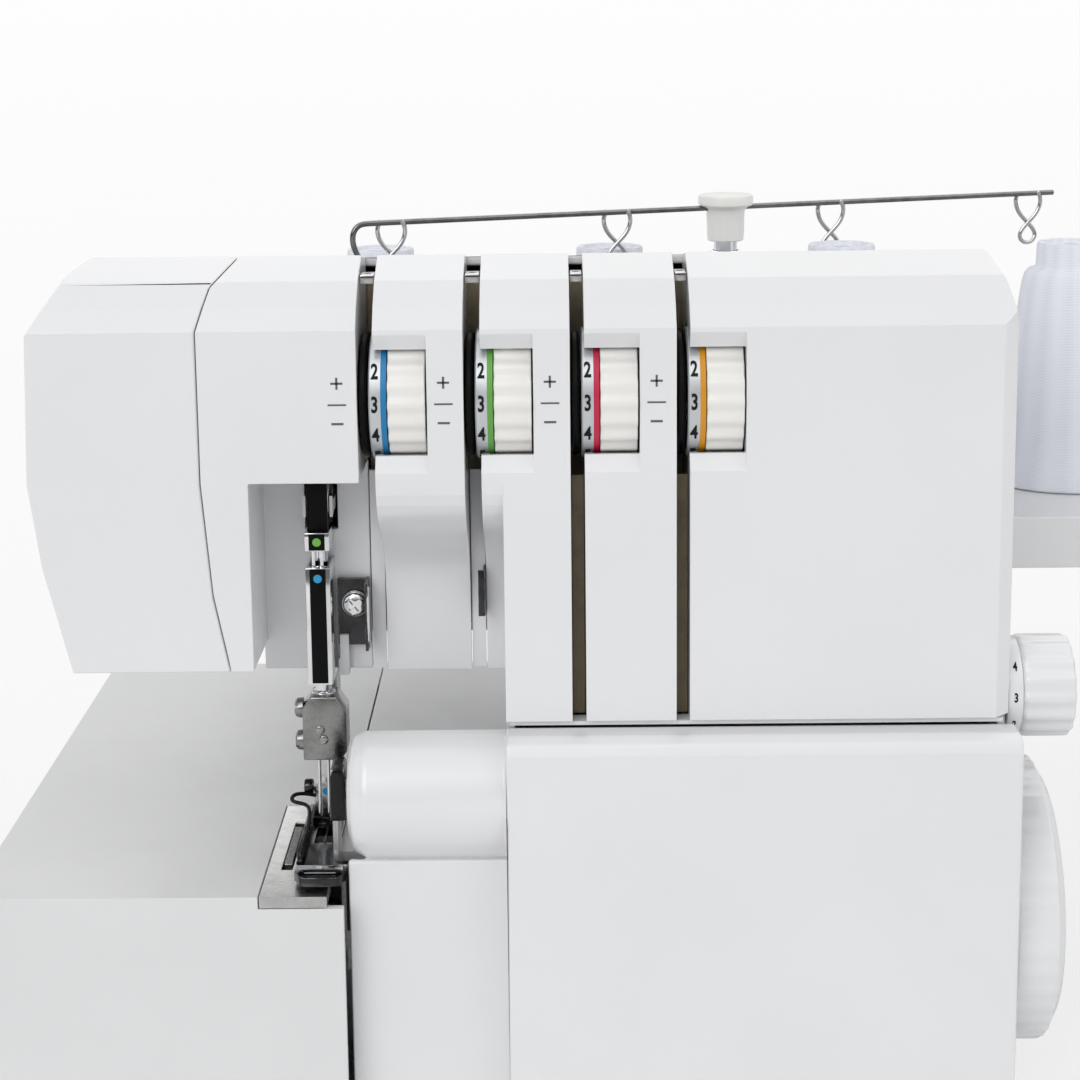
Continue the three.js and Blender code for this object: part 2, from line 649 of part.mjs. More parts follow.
function driveBelt() {
  const [a, b] = [[SHAFT_DEPTH, SHAFT_Z], [MOTOR_Y, MOTOR_Z]];
  const [near, far] = [DRIVE_PULLEY_RADIUS + 1.5 + GAP, MOTOR_PULLEY_RADIUS + 1.5 + GAP];
  const outer = beltLine(a, near + BELT_THICKNESS, b, far + BELT_THICKNESS);
  return prismX(outer, PULLEY_X + 1, PULLEY_X + PULLEY_WIDTH - 1, [beltLine(a, near, b, far)]);
}

// Rocker shaft that swings the take-up levers, with its hub fixed on the end.
function rockerShaft() {
  return rod("x", [NEEDLE_X + 6 + GAP, ROCKER_Y, ROCKER_Z], 4, RIGHT - 26 - NEEDLE_X - 6, 16);
}

function takeUpLever() {
  const hub = rod("x", [NEEDLE_X - 6, ROCKER_Y, ROCKER_Z], 6, 12, 16);
  const line = [
    [22, ROCKER_Z - 3], [26, ROCKER_Z - 2], [ROCKER_Y, ROCKER_Z - 3],
    [ROCKER_Y, ROCKER_Z + 3], [26, ROCKER_Z + 1.5], [22, ROCKER_Z + 3.5],
  ];
  const arm = (x) => prismX(line, NEEDLE_X + x - LEVER_HALF, NEEDLE_X + x + LEVER_HALF);
  return join(hub, arm(-LEVER_X), arm(LEVER_X));
}

// ---------------------------------------------------------------- needle and presser

function needleBar() {
  const from = CLAMP_Z + CLAMP_HEIGHT + GAP;
  return rod("z", [NEEDLE_X, NEEDLE_DEPTH, from], NEEDLE_BAR_RADIUS, RECESS_TOP + 20 - from, 16);
}

function needleClamp() {
  const top = CLAMP_Z + CLAMP_HEIGHT;
  const line = [[-6, 0], [5, 0], [7, 2.5], [7, 15], [4, CLAMP_HEIGHT], [-3.5, CLAMP_HEIGHT], [-6, 16]];
  const placed = line.map(([x, z]) => [NEEDLE_X + x, CLAMP_Z + z]);
  const block = prismY(placed, NEEDLE_DEPTH - 5.5, NEEDLE_DEPTH + 5);
  const sideScrew = (z) => rod("x", [NEEDLE_X - 9, NEEDLE_DEPTH - 1, top - z], 2.6, 4, 14);
  const setScrew = (x, z) => rod("y", [NEEDLE_X + x, NEEDLE_DEPTH - 6.6, CLAMP_Z + z], 1.5, 2, 10);
  return join(block, sideScrew(4.5), sideScrew(14.5), setScrew(-1.6, 9.4), setScrew(1.6, 6.6));
}

function needle(side) {
  const x = NEEDLE_X - 0.6 + (side * NEEDLE_SPACING) / 2;
  const top = CLAMP_Z - GAP;
  const profile = [[0, 0], [NEEDLE_RADIUS, 4], [NEEDLE_RADIUS, NEEDLE_LENGTH], [0, NEEDLE_LENGTH]];
  return turned("z", [x, NEEDLE_DEPTH, top - NEEDLE_LENGTH], profile, 8);
}

// The channel in front of the needle bar: a front plate with two flanges, a neck and an upper block.
function needleGuide() {
  const half = GUIDE_WIDTH / 2;
  const front = NEEDLE_DEPTH - 8;
  const back = RECESS_DEPTH - GAP;
  const lower = CLAMP_Z + CLAMP_HEIGHT + 4.5;
  const neck = RECESS_TOP - 29;
  const slab = (x, z0, z1) => box(NEEDLE_X - x, NEEDLE_X + x, front, front + 2.5, z0, z1);
  const flanges = (z0, z1) =>
    join(
      box(NEEDLE_X - half, NEEDLE_X - half + 0.8, front, back, z0, z1),
      box(NEEDLE_X + half - 0.8, NEEDLE_X + half, front, back, z0, z1),
    );
  return join(
    slab(half, lower, neck),
    flanges(lower, neck),
    slab(1.8, neck - 1, RECESS_TOP - 23),
    slab(half, RECESS_TOP - 24, RECESS_TOP - 18.5),
    flanges(RECESS_TOP - 24, RECESS_TOP - 18.5),
  );
}

function threadBracket() {
  const [x0, x1] = [NEEDLE_X + 4.4, HEAD_RIGHT - 0.4];
  const [z0, z1] = [RECESS_TOP - 56, RECESS_TOP - 35.5];
  const back = RECESS_DEPTH - GAP;
  return join(
    box(x0, x1, back - 2.2, back - 1, z0, z1),
    box(x0 + 2, x1 - 4, back - 1.5, back, z0 + 6, z1 - 2),
    box(x1 - 0.9, x1, back - 9, back, z0, z1),
    rod("y", [NEEDLE_X + 9.5, back - 4, z1 - 7.5], 3.4, 3, 16),
  );
}

function presserBar() {
  const from = BED_TOP + 14 + GAP;
  return rod("z", [NEEDLE_X, PRESSER_DEPTH, from], PRESSER_BAR_RADIUS, RECESS_TOP + 11 - from, 16);
}

function presserFoot() {
  const [z0, z1] = [BED_TOP + SOLE_LIFT, BED_TOP + SOLE_LIFT + SOLE_THICKNESS];
  const [left, inner, right] = [NEEDLE_X - 7, NEEDLE_X + 2.6, NEEDLE_X + 8];
  const line = [
    [left, -3], [left + 3, -8], [right - 3, -8], [right, -3],
    [right, 1], [inner, 2], [inner, 50], [left, 52],
  ];
  const sole = prismZ(line, z0, z1);
  const slot = box(NEEDLE_X - 3.6, NEEDLE_X + 1.8, 18, 31, z0 - 1, z1 + 1);
  const toeLine = [[-8, z1 - 0.5], [-3, z1 - 0.5], [-8, z1 + 3.5], [-10, z1 + 3]];
  const toe = prismX(toeLine, left + 3, right - 3);
  const ankle = cut(
    box(NEEDLE_X - 5, NEEDLE_X + 2, PRESSER_DEPTH - 6, PRESSER_DEPTH + 5, z1 - 0.5, BED_TOP + 14),
    box(NEEDLE_X - 1.5, NEEDLE_X + 3, PRESSER_DEPTH - 7, PRESSER_DEPTH + 6, z1 + 2.5, z1 + 5),
  );
  return join(cut(sole, slot), toe, ankle);
}

function presserLifter() {
  const [x, z, y] = [HEAD_LEFT - 14, HEAD_BOTTOM + 42, BODY_DEPTH + GAP];
  const line = [[x - 6, z], [x - 5, z - 38], [x, z - 42], [x + 5, z - 38], [x + 6, z]];
  const arm = prismY(line, y + 4, y + 9);
  return join(rod("y", [x, y, z], 8, 11, 20), arm);
}

function upperKnife() {
  const x = NEEDLE_X;
  return join(
    box(x + 3.8, x + 5.4, 4, 14, BED_TOP - 0.5, BED_TOP + 18),
    box(x + 3.5, x + 7.3, 4, 14, BED_TOP + 17, BED_TOP + 32),
    rod("x", [x + 7, 9, BED_TOP + 25], 3.4, COLUMN_LEFT - 9 - x - 7, 14),
    box(COLUMN_LEFT - 13, COLUMN_LEFT - 6, 5.6, 12.4, BED_TOP - 16, BED_TOP + 29),
  );
}

function lowerKnife() {
  const x = NEEDLE_X;
  return join(
    box(x + 5.7, x + 7.1, 5, 13, BED_TOP - 24, BED_TOP - 0.4),
    box(x + 7, x + 14, 5, 13, BED_TOP - 30, BED_TOP - 18),
  );
}

// ---------------------------------------------------------------- loopers

const fromPivot = (points) => points.map(([x, z]) => [PIVOT_X + x, PIVOT_Z + z]);

// A looper: a hub that turns on the pivot pin, and an arm with its outline given from the pivot.
function looper(start, line) {
  const hub = rod("y", [PIVOT_X, start, PIVOT_Z], 8, 7, 20);
  const bore = rod("y", [PIVOT_X, start - 1, PIVOT_Z], PIVOT_PIN_RADIUS + RUN, 9, 16);
  return cut(join(hub, prismY(fromPivot(line), start + 2, start + 5)), bore);
}

function upperLooper() {
  return looper(13, [
    [-4, 5], [4, 5], [1, 28], [-8, 46], [-12, 55], [-16, 58], [-14, 50], [-10, 42], [-4, 26],
  ]);
}

function lowerLooper() {
  return looper(27, [
    [-5, 3], [4, 6], [-8, 24], [-18, 38], [-29, 43], [-32, 41], [-24, 36], [-16, 26],
  ]);
}

// ---------------------------------------------------------------- looper cover

function looperCover() {
  const [x0, x1, rear] = [COLUMN_LEFT, RIGHT + 1.5, COVER_FRONT + COVER_DEPTH];
  const section = [
    [COVER_FRONT + 2, COVER_BOTTOM], [rear, COVER_BOTTOM], [rear, COVER_TOP],
    [COVER_FRONT + 5, COVER_TOP], [COVER_FRONT + 1.5, COVER_TOP - 1.5],
    [COVER_FRONT, COVER_TOP - 5], [COVER_FRONT, COVER_BOTTOM + 6],
  ];
  const plate = cut(
    prismX(section, x0, x1),
    box(x0 + WALL, x1 - WALL, COVER_FRONT + WALL, rear + 1, COVER_BOTTOM + WALL, COVER_TOP - WALL),
  );
  const left = x0 - DRUM_LENGTH;
  const [y, z, r] = [DRUM_AXIS_DEPTH, DRUM_Z, DRUM_RADIUS];
  const reach = DRUM_LENGTH + 1;
  const profile = [[0, 0], [r - 6, 0], [r - 2, 1.6], [r, 5.5], [r, reach], [0, reach]];
  const outer = turned("x", [left, y, z], profile, 40);
  const inner = rod("x", [left + WALL, y, z], r - WALL, DRUM_LENGTH + 2, 40);
  const behind = box(left - 1, x0 + 2, DRUM_REAR, y + 2 * r, z - 2 * r, z + 2 * r);
  const apron = box(left, x0 + 1, COVER_FRONT + 8, COVER_FRONT + 8 + WALL, COVER_BOTTOM, z - r + 3);
  return join(plate, cut(join(outer, apron), inner, behind));
}

// ---------------------------------------------------------------- tension units

// The dark plate behind the slots.
function tensionPlate() {
  const front = PANEL_DEPTH + 2 * GAP;
  const top = roofZ(PANEL_DEPTH) - 6;
  return box(HEAD_RIGHT, RIGHT - 2 * WALL, front, front + 1.5, HEAD_BOTTOM + 3, top);
}

// The spindle that all four dials turn on, its supports and the tension discs.
function tensionSpindle() {
  const arms = dials.map(({ right }) => right + RUN + LINER + 2);
  const start = HEAD_RIGHT - 9;
  const axis = (x) => [x, DIAL_AXIS_DEPTH, DIAL_Z];
  const arm = (x) => box(x, x + 3, DIAL_AXIS_DEPTH, PANEL_DEPTH + GAP, DIAL_Z - 3, DIAL_Z + 3);
  return join(
    rod("x", axis(start), SPINDLE_RADIUS, arms[3] + 3 - start, 16),
    arm(start),
    ...arms.map(arm),
    ...dials.map(({ left }) => {
      const disc = left - RUN - DISC_THICKNESS;
      return rod("x", axis(disc), DISC_RADIUS, DISC_THICKNESS, 20);
    }),
  );
}

// One dial: the numbered ring and its colour band on the left, the fluted grip on the right.
function tensionDial(k) {
  const [r, bore, w] = [DIAL_RADIUS, SPINDLE_RADIUS + RUN, DIAL_WIDTH];
  const scale = r - 0.6;
  const profile = [
    [bore, 0], [scale, 0], [scale, SCALE_WIDTH], [r, SCALE_WIDTH + 0.8],
    [r, w - 1.5], [r - 1.5, w], [bore, w], [bore, 0],
  ];
  return turned("x", [dials[k].left, DIAL_AXIS_DEPTH, DIAL_Z], profile, 24);
}

// ---------------------------------------------------------------- thread stand

function threadTray() {
  const [x0, x1] = [POLE_X - TRAY_LEFT, POLE_X + TRAY_RIGHT];
  const [y0, y1] = [BODY_DEPTH + GAP, BODY_DEPTH + GAP + TRAY_DEPTH];
  const r = 12; // rear corners, each cut by two straight lines
  const line = (d) => {
    const c = 0.3 * r + 0.7 * d;
    return [
      [x0 + d, y0 + d], [x1 - d, y0 + d], [x1 - d, y1 - r], [x1 - c, y1 - c],
      [x1 - r, y1 - d], [x0 + r, y1 - d], [x0 + c, y1 - c], [x0 + d, y1 - r],
    ];
  };
  const shell = cut(
    prismZ(line(0), TRAY_TOP - TRAY_HEIGHT, TRAY_TOP),
    prismZ(line(WALL), TRAY_TOP - TRAY_HEIGHT - 1, TRAY_TOP - WALL),
  );
  const pin = [[0, 0], [PIN_RADIUS, 0], [PIN_RADIUS, 54], [PIN_RADIUS - 1.5, 57], [0, 57]];
  const pins = CONE_PLACES.map((x) => turned("z", [POLE_X + x, POLE_Y, TRAY_TOP - 1], pin, 12));
  const post = (x) => box(x, x + 12, POLE_Y - 30, POLE_Y - 12, BED_BOTTOM, TRAY_TOP - 1);
  return join(shell, ...pins, post(POLE_X - 56), post(POLE_X + 44));
}

function poleTube(k) {
  const start = TRAY_TOP + GAP + k;
  const length = POLE_TOP - 5 + 2.5 * k - start;
  const outer = POLE_RADII[k];
  if (k === 2) return rod("z", [POLE_X, POLE_Y, start], outer, length + 9, 16);
  return sleeve("z", [POLE_X, POLE_Y, start], outer, outer - POLE_WALL, length, 20);
}

function threadCone(k) {
  const bore = PIN_RADIUS + 1;
  const profile = [
    [bore, 0], [CONE_RADIUS, 0], [CONE_RADIUS, 3], [22.6, 16.5], [16.2, 77],
    [12.6, 77.6], [12, 87], [bore, 87], [bore, 0],
  ];
  return turned("z", [POLE_X + CONE_PLACES[k], POLE_Y, TRAY_TOP + GAP], profile, 20);
}

// Guide bar and cap are made about the pole and turned as one.
function guideCap() {
  const [bottom, top] = [POLE_TOP + 1, 280.5];
  const bore = POLE_RADII[2] + GAP;
  const profile = [
    [bore, 0], [6.4, 0], [6.4, 7.5], [9.2, 9], [9.9, 12], [8.6, 15], [5, 16.8],
    [0, top - bottom], [0, 9.5], [bore, 9.5], [bore, 0],
  ];
  const hole = rod("x", [-20, 0, GUIDE_HEIGHT], WIRE_RADIUS + GAP, 40, 12);
  return cut(turned("z", [0, 0, bottom], profile, 24), hole);
}

// A wire along a line of points.
function wire(points, steps) {
  const radius = 0.9 * WIRE_RADIUS;
  const corners = Array.from({ length: 6 }, (_, k) => {
    const t = (k * Math.PI) / 3;
    return new THREE.Vector2(radius * Math.cos(t), radius * Math.sin(t));
  });
  const circle = new THREE.Shape(corners);
  const path = new THREE.CatmullRomCurve3(points.map((p) => new THREE.Vector3(...p)));
  return solid(new THREE.ExtrudeGeometry(circle, { extrudePath: path, steps, bevelEnabled: false }));
}

// The left half of an eye from the bar down; the right half mirrors it, passing behind.
const EYE_HALF = [[-4.5, 0.9, 0], [-2, 1.1, -5], [2.6, 1.2, -9.5], [4.4, 0.8, -13.5], [2.6, 0, -17]];

function guideBar() {
  const back = EYE_HALF.map(([dx, dy, dz]) => [-dx, -dy, dz]).reverse();
  const line = [...EYE_HALF, [0, 0, -18], ...back];
  const eye = (x) => wire(line.map(([dx, dy, dz]) => [x + dx, dy, GUIDE_HEIGHT + dz]), 16);
  const bar = rod("x", [-BAR_END, 0, GUIDE_HEIGHT], WIRE_RADIUS, 2 * BAR_END, 8);
  return join(bar, ...CONE_PLACES.map(eye));
}

// ---------------------------------------------------------------- right-hand side

function sideDial(radius, width, y, z) {
  const profile = [
    [0, 0], [radius - 1, 0], [radius, 1],
    [radius, width - 3], [radius - 2.5, width], [0, width],
  ];
  return turned("x", [SIDE, y, z], profile, 28);
}

function inletPanel() {
  const [y0, y1] = [MOTOR_Y - 38, MOTOR_Y + 34];
  const z = MOTOR_Z;
  return cut(
    box(SIDE, SIDE + 7, y0, y1, z - 17, z + 17),
    box(SIDE + 1.5, SIDE + 8, y0 + 6, y0 + 34, z - 11, z + 11),
    box(SIDE + 1, SIDE + 8, y1 - 28, y1 - 6, z - 10, z + 10),
  );
}

// The power rocker leans towards "off" at rest.
function addPowerSwitch() {
  const pivot = new THREE.Group();
  pivot.position.set(SIDE + 5.5, MOTOR_Y + 17, MOTOR_Z);
  pivot.rotation.z = THREE.MathUtils.degToRad(-8);
  const line = [[-2, -9], [2.2, -10], [1.2, 0], [2.2, 10], [-2, 9]];
  add("power_switch", prismZ(line, -8.6, 8.6), black, pivot);
  machine.add(pivot);
}

function pressureScrew() {
  const [bottom, top] = [RECESS_TOP + 18, roofZ(PRESSER_DEPTH) - 1.5];
  const [x, y, r] = [NEEDLE_X, PRESSER_DEPTH, PRESSURE_SCREW_RADIUS];
  const slot = box(x - r - 1, x + r + 1, y - 0.8, y + 0.8, top - 2, top + 1);
  return cut(rod("z", [x, y, bottom], r, top - bottom, 20), slot);
}

// ---------------------------------------------------------------- assembly

const footTop = FOOT_HEIGHT - GAP;
const footProfile = [[0, 0], [FOOT_RADIUS, 0], [FOOT_RADIUS + 1, 2], [FOOT_RADIUS, footTop], [0, footTop]];
[["front", 22], ["rear", BASE_REAR - 18]].forEach(([row, y]) =>
  [["left", LEFT + 8], ["right", RIGHT - 18]].forEach(([side, x]) =>
    add("foot_" + row + "_" + side, turned("z", [x, y, 0], footProfile, 16), rubber),
  ),
);
add("base_pan", basePan(), white);
add("chassis", chassis(), casting);
add("cloth_plate", clothPlate(), bedGrey);
add("bed_cover", bedCover(), bedGrey);
add("needle_plate", needlePlate(), steel);
add("feed_dog", feedDog(), steel);
add("column_housing", columnHousing(), white);
add("rear_cover", rearCover(), white);
add("face_cover", faceCover(), white);
add("head_front", headFront(), white);
for (let k = 0; k < 3; k++) add("tension_strip_" + (k + 1), tensionStrip(k), white);
add("right_panel", rightPanel(), white);
add("looper_cover", looperCover(), white);
add("tension_plate", tensionPlate(), darkSteel);
add("tension_spindle", tensionSpindle(), black);
for (let k = 0; k < 4; k++) add("tension_dial_" + (k + 1), tensionDial(k), bandColours[k]);
add("main_shaft", mainShaft(), steel);
add("handwheel", handwheel(), white);
add("motor", motor(), black);
add("motor_pulley", motorPulley(), steel);
add("drive_belt", driveBelt(), rubber);
add("rocker_shaft", rockerShaft(), steel);
add("take_up_lever", takeUpLever(), steel);
add("needle_bar", needleBar(), chrome);
add("needle_clamp", needleClamp(), steel);
add("needle_left", needle(-1), chrome);
add("needle_right", needle(1), chrome);
add("needle_guide", needleGuide(), black);
add("thread_bracket", threadBracket(), darkSteel);
add("presser_bar", presserBar(), chrome);
add("presser_foot", presserFoot(), black);
add("presser_lifter", presserLifter(), black);
add("pressure_screw", pressureScrew(), bedGrey);
add("upper_knife", upperKnife(), steel);
add("lower_knife", lowerKnife(), steel);
add("upper_looper", upperLooper(), chrome);
add("lower_looper", lowerLooper(), chrome);
add("thread_tray", threadTray(), white);
["outer", "middle", "inner"].forEach((name, k) => add("pole_" + name, poleTube(k), chrome));
for (let k = 0; k < 4; k++) add("thread_cone_" + (k + 1), threadCone(k), thread);
const swivel = new THREE.Group();
swivel.position.set(POLE_X, POLE_Y, 0);
swivel.rotation.z = THREE.MathUtils.degToRad(-GUIDE_TURN);
add("guide_cap", guideCap(), white, swivel);
add("guide_bar", guideBar(), chrome, swivel);
machine.add(swivel);
add("stitch_length_dial", sideDial(STITCH_DIAL_RADIUS, 20, 20, SEAM_Z + 3.5), white);
add("feed_ratio_dial", sideDial(FEED_DIAL_RADIUS, 12, 78, SEAM_Z + 3.5), white);
add("inlet_panel", inletPanel(), black);
addPowerSwitch();

// The origin is on the desk under the middle of the whole machine.
const middleX = (TABLE_LEFT + POLE_X + TRAY_RIGHT) / 2;
const middleY = (COVER_FRONT + BODY_DEPTH + GAP + TRAY_DEPTH) / 2;
machine.position.set(-middleX, -middleY, 0);
const group = new THREE.Group();
group.add(machine);

export default group;
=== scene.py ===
# %% [markdown]
# # A household overlock machine
#
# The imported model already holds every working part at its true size, and says how each one moves. This
# notebook gives those parts their finish. Large mouldings keep the shape of the frame and get rounded
# edges. Small parts that a hand or an eye meets, such as dials, screws and wire eyes, are modelled again.

# %% Load the frame
import json
import math

import bmesh
import bpy
from mathutils import Matrix, Vector

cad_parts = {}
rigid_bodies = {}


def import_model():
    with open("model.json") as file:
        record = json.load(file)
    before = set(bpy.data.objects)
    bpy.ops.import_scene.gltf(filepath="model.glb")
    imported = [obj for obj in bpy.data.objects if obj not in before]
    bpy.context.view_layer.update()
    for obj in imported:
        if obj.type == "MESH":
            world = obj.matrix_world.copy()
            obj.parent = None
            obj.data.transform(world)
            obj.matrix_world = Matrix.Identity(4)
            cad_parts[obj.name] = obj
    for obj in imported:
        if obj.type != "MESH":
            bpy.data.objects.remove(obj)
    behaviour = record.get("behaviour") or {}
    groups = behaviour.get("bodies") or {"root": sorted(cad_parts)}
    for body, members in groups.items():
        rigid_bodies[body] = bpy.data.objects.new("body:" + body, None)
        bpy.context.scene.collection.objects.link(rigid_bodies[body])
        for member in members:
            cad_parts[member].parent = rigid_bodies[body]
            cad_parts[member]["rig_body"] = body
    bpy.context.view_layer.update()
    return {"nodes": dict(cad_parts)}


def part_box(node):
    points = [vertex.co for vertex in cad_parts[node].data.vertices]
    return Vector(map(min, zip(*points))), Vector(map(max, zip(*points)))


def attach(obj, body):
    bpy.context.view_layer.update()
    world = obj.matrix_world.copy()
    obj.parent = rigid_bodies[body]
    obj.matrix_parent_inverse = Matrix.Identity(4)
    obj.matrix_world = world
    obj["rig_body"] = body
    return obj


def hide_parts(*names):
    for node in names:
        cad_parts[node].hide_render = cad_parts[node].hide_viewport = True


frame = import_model()

# %% [markdown]
# All lengths below are metres, so a millimetre has a name. Operators act on whatever is selected, so each
# helper first selects exactly one piece.

# %% Small tools
MM = 0.001
X, Y, Z = Vector((1, 0, 0)), Vector((0, 1, 0)), Vector((0, 0, 1))


def new_object(name, data):
    """Puts an object with this data into the scene."""
    made = bpy.data.objects.new(name, data)
    bpy.context.scene.collection.objects.link(made)
    return made


def only(piece):
    """Selects one piece and nothing else."""
    bpy.ops.object.select_all(action="DESELECT")
    piece.select_set(True)
    bpy.context.view_layer.objects.active = piece
    return piece


def editing(piece, *steps):
    """Runs edit-mode steps on a whole piece: each is an operator and its settings."""
    only(piece)
    bpy.ops.object.mode_set(mode="EDIT")
    for operator, settings in steps:
        bpy.ops.mesh.select_all(action="SELECT")
        operator(**settings)
    bpy.ops.object.mode_set(mode="OBJECT")
    return piece


def pick_faces(piece, wanted):
    """In edit mode, selects the faces whose centre and normal pass a test."""
    mesh = bmesh.from_edit_mesh(piece.data)
    bpy.ops.mesh.select_all(action="DESELECT")
    bpy.ops.mesh.select_mode(type="FACE")
    for face in mesh.faces:
        face.select_set(wanted(face.calc_center_median(), face.normal))
    bmesh.update_edit_mesh(piece.data)


def applied(piece, kind, **settings):
    """Adds a modifier with these settings and applies it."""
    only(piece)
    bpy.ops.object.modifier_add(type=kind)
    modifier = piece.modifiers[-1]
    for name, value in settings.items():
        setattr(modifier, name, value)
    bpy.ops.object.modifier_apply(modifier=modifier.name)
    return piece


def rounded(piece, width, segments=3, angle=30):
    """Rounds every edge that is sharper than an angle."""
    return applied(
        piece, "BEVEL", width=width, segments=segments, limit_method="ANGLE",
        angle_limit=math.radians(angle), use_clamp_overlap=False, miter_outer="MITER_ARC",
    )


def finished(piece, name, body, material, nodes=(), smooth=32):
    """Freezes a piece in place, shades it and hangs it on its body."""
    only(piece)
    bpy.ops.object.transform_apply(location=True, rotation=True, scale=True)
    piece.name = piece.data.name = name
    bpy.ops.object.shade_smooth_by_angle(angle=math.radians(smooth))
    piece.data.materials.clear()
    piece.data.materials.append(material)
    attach(piece, body)
    if nodes:
        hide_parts(*nodes)
    return piece


def joined(pieces):
    """Makes one piece of several."""
    bpy.ops.object.select_all(action="DESELECT")
    for piece in pieces:
        piece.select_set(True)
    bpy.context.view_layer.objects.active = pieces[0]
    if len(pieces) > 1:
        bpy.ops.object.join()
    return pieces[0]


def body_of(part):
    return frame["nodes"][part]["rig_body"]


def axis_along_x(low, high):
    """The Y and Z of the line along X through the middle of a box."""
    return ((low.y + high.y) / 2, (low.z + high.z) / 2)


# %% [markdown]
# ## Primitives at their place
# A block, a turned part and a bent wire cover nearly every small part of a sewing machine. The turned
# part is a profile spun round its axis, as on a lathe, and a wire is a curve with a round section.

# %% Block, lathe and wire
def block(low, high, edge=0.0, segments=2):
    """A box between two corners, with rounded edges."""
    low, high = Vector(low), Vector(high)
    bpy.ops.object.select_all(action="DESELECT")
    bpy.ops.mesh.primitive_cube_add(size=1, location=(low + high) / 2, scale=high - low)
    piece = bpy.context.object
    bpy.ops.object.transform_apply(location=True, rotation=True, scale=True)
    return rounded(piece, edge, segments) if edge else piece


def turned(centre, axis, profile, steps=64):
    """Spins (radius, distance) points, in millimetres, round an axis through a centre."""
    out = X if axis == Z else Z
    points = [Vector(centre) + axis * h * MM + out * r * MM for r, h in profile]
    mesh = bpy.data.meshes.new("turned")
    mesh.from_pydata(points, [(k, k + 1) for k in range(len(points) - 1)], [])
    piece = new_object("turned", mesh)
    spin = dict(steps=steps, angle=math.tau, center=centre, axis=axis)
    return editing(
        piece,
        (bpy.ops.mesh.spin, spin),
        (bpy.ops.mesh.remove_doubles, dict(threshold=1e-6)),
        (bpy.ops.mesh.normals_make_consistent, dict(inside=False)),
    )


def disc(centre, axis, radius, width, edge=0.3, steps=64):
    """A turned disc with rounded rims, sizes in millimetres."""
    profile = [(0, 0), (radius - edge, 0), (radius - 0.3 * edge, 0.3 * edge), (radius, edge)]
    profile += [(r, width - h) for r, h in reversed(profile)]
    return turned(centre, axis, profile, steps)


def wire(points, radius, closed=False, sides=3, detail=10):
    """A round wire along a smooth line of points."""
    curve = bpy.data.curves.new("wire", "CURVE")
    curve.dimensions = "3D"
    curve.bevel_depth = radius
    curve.bevel_resolution = sides
    curve.use_fill_caps = True
    spline = curve.splines.new("NURBS")
    spline.points.add(len(points) - 1)
    for point, place in zip(spline.points, points):
        point.co = (*place, 1)
    spline.order_u = 4
    spline.use_endpoint_u = not closed
    spline.use_cyclic_u = closed
    spline.resolution_u = detail
    piece = new_object("wire", curve)
    only(piece)
    bpy.ops.object.convert(target="MESH")
    return bpy.context.object


def outline(points, axis, start, depth, edge=0.0, segments=2):
    """A flat outline pushed out along an axis; the points lie in the other two directions."""
    place = {0: lambda a, b: (start, a, b), 1: lambda a, b: (a, start, b), 2: lambda a, b: (a, b, start)}
    corners = [place[axis](a, b) for a, b in points]
    mesh = bpy.data.meshes.new("outline")
    mesh.from_pydata(corners, [], [tuple(range(len(corners)))])
    piece = new_object("outline", mesh)
    move = [0, 0, 0]
    move[axis] = depth
    only(piece)
    bpy.ops.object.mode_set(mode="EDIT")
    bpy.ops.mesh.select_all(action="SELECT")
    bpy.ops.mesh.extrude_region_move(TRANSFORM_OT_translate={"value": move})
    bpy.ops.mesh.select_all(action="SELECT")
    bpy.ops.mesh.normals_make_consistent(inside=False)
    bpy.ops.object.mode_set(mode="OBJECT")
    return rounded(piece, edge, segments) if edge else piece


def carved(piece, cutter):
    """Cuts one piece out of another."""
    applied(piece, "BOOLEAN", object=cutter, operation="DIFFERENCE", solver="EXACT")
    bpy.data.objects.remove(cutter)
    return piece


# %% [markdown]
# ## Where the eye is
# The machine stands on a desk and is seen from just in front of the head, a little above its top, with
# a long lens. The camera looks down slightly and leans a hair, as a camera on a stand does.

# %% Camera
EYE_BACK = 0.6063  # from the front of the head
EYE_HEIGHT = 0.3552
EYE_SIDE = 0.0839  # left of the middle of the front panel on the right
FOCAL_LENGTH, LENS_SHIFT = 73.6, -0.152  # for a sensor 36 mm wide
PITCH, TURN, LEAN = math.radians(10.0), math.radians(0.38), math.radians(-0.61)

head_low, head_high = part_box("head_front")
panel_low, panel_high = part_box("right_panel")
lens = bpy.data.cameras.new("eye")
lens.sensor_width = 36
lens.lens = FOCAL_LENGTH
lens.shift_y = LENS_SHIFT
eye = new_object("eye", lens)
eye.location = (
    (panel_low.x + panel_high.x) / 2 - EYE_SIDE,
    head_low.y - EYE_BACK,
    EYE_HEIGHT,
)
eye.rotation_euler = (
    Matrix.Rotation(TURN, 4, "Z")
    @ Matrix.Rotation(math.pi / 2 - PITCH, 4, "X")
    @ Matrix.Rotation(LEAN, 4, "Z")
).to_euler()
bpy.context.scene.camera = eye
print("camera at", [round(value, 4) for value in eye.location])

# %% [markdown]
# ## Surfaces shared by many parts
# Moulded plastic is never one flat colour: its tone drifts a little, its gloss is uneven where hands
# touch it, and up close it has a fine grain. One group gives all three, and each plastic sets its own
# colours and amounts. Dust settles only on what faces up, so it has a group of its own.

# %% Groups of nodes
FLOAT, COLOUR, VECTOR = "NodeSocketFloat", "NodeSocketColor", "NodeSocketVector"


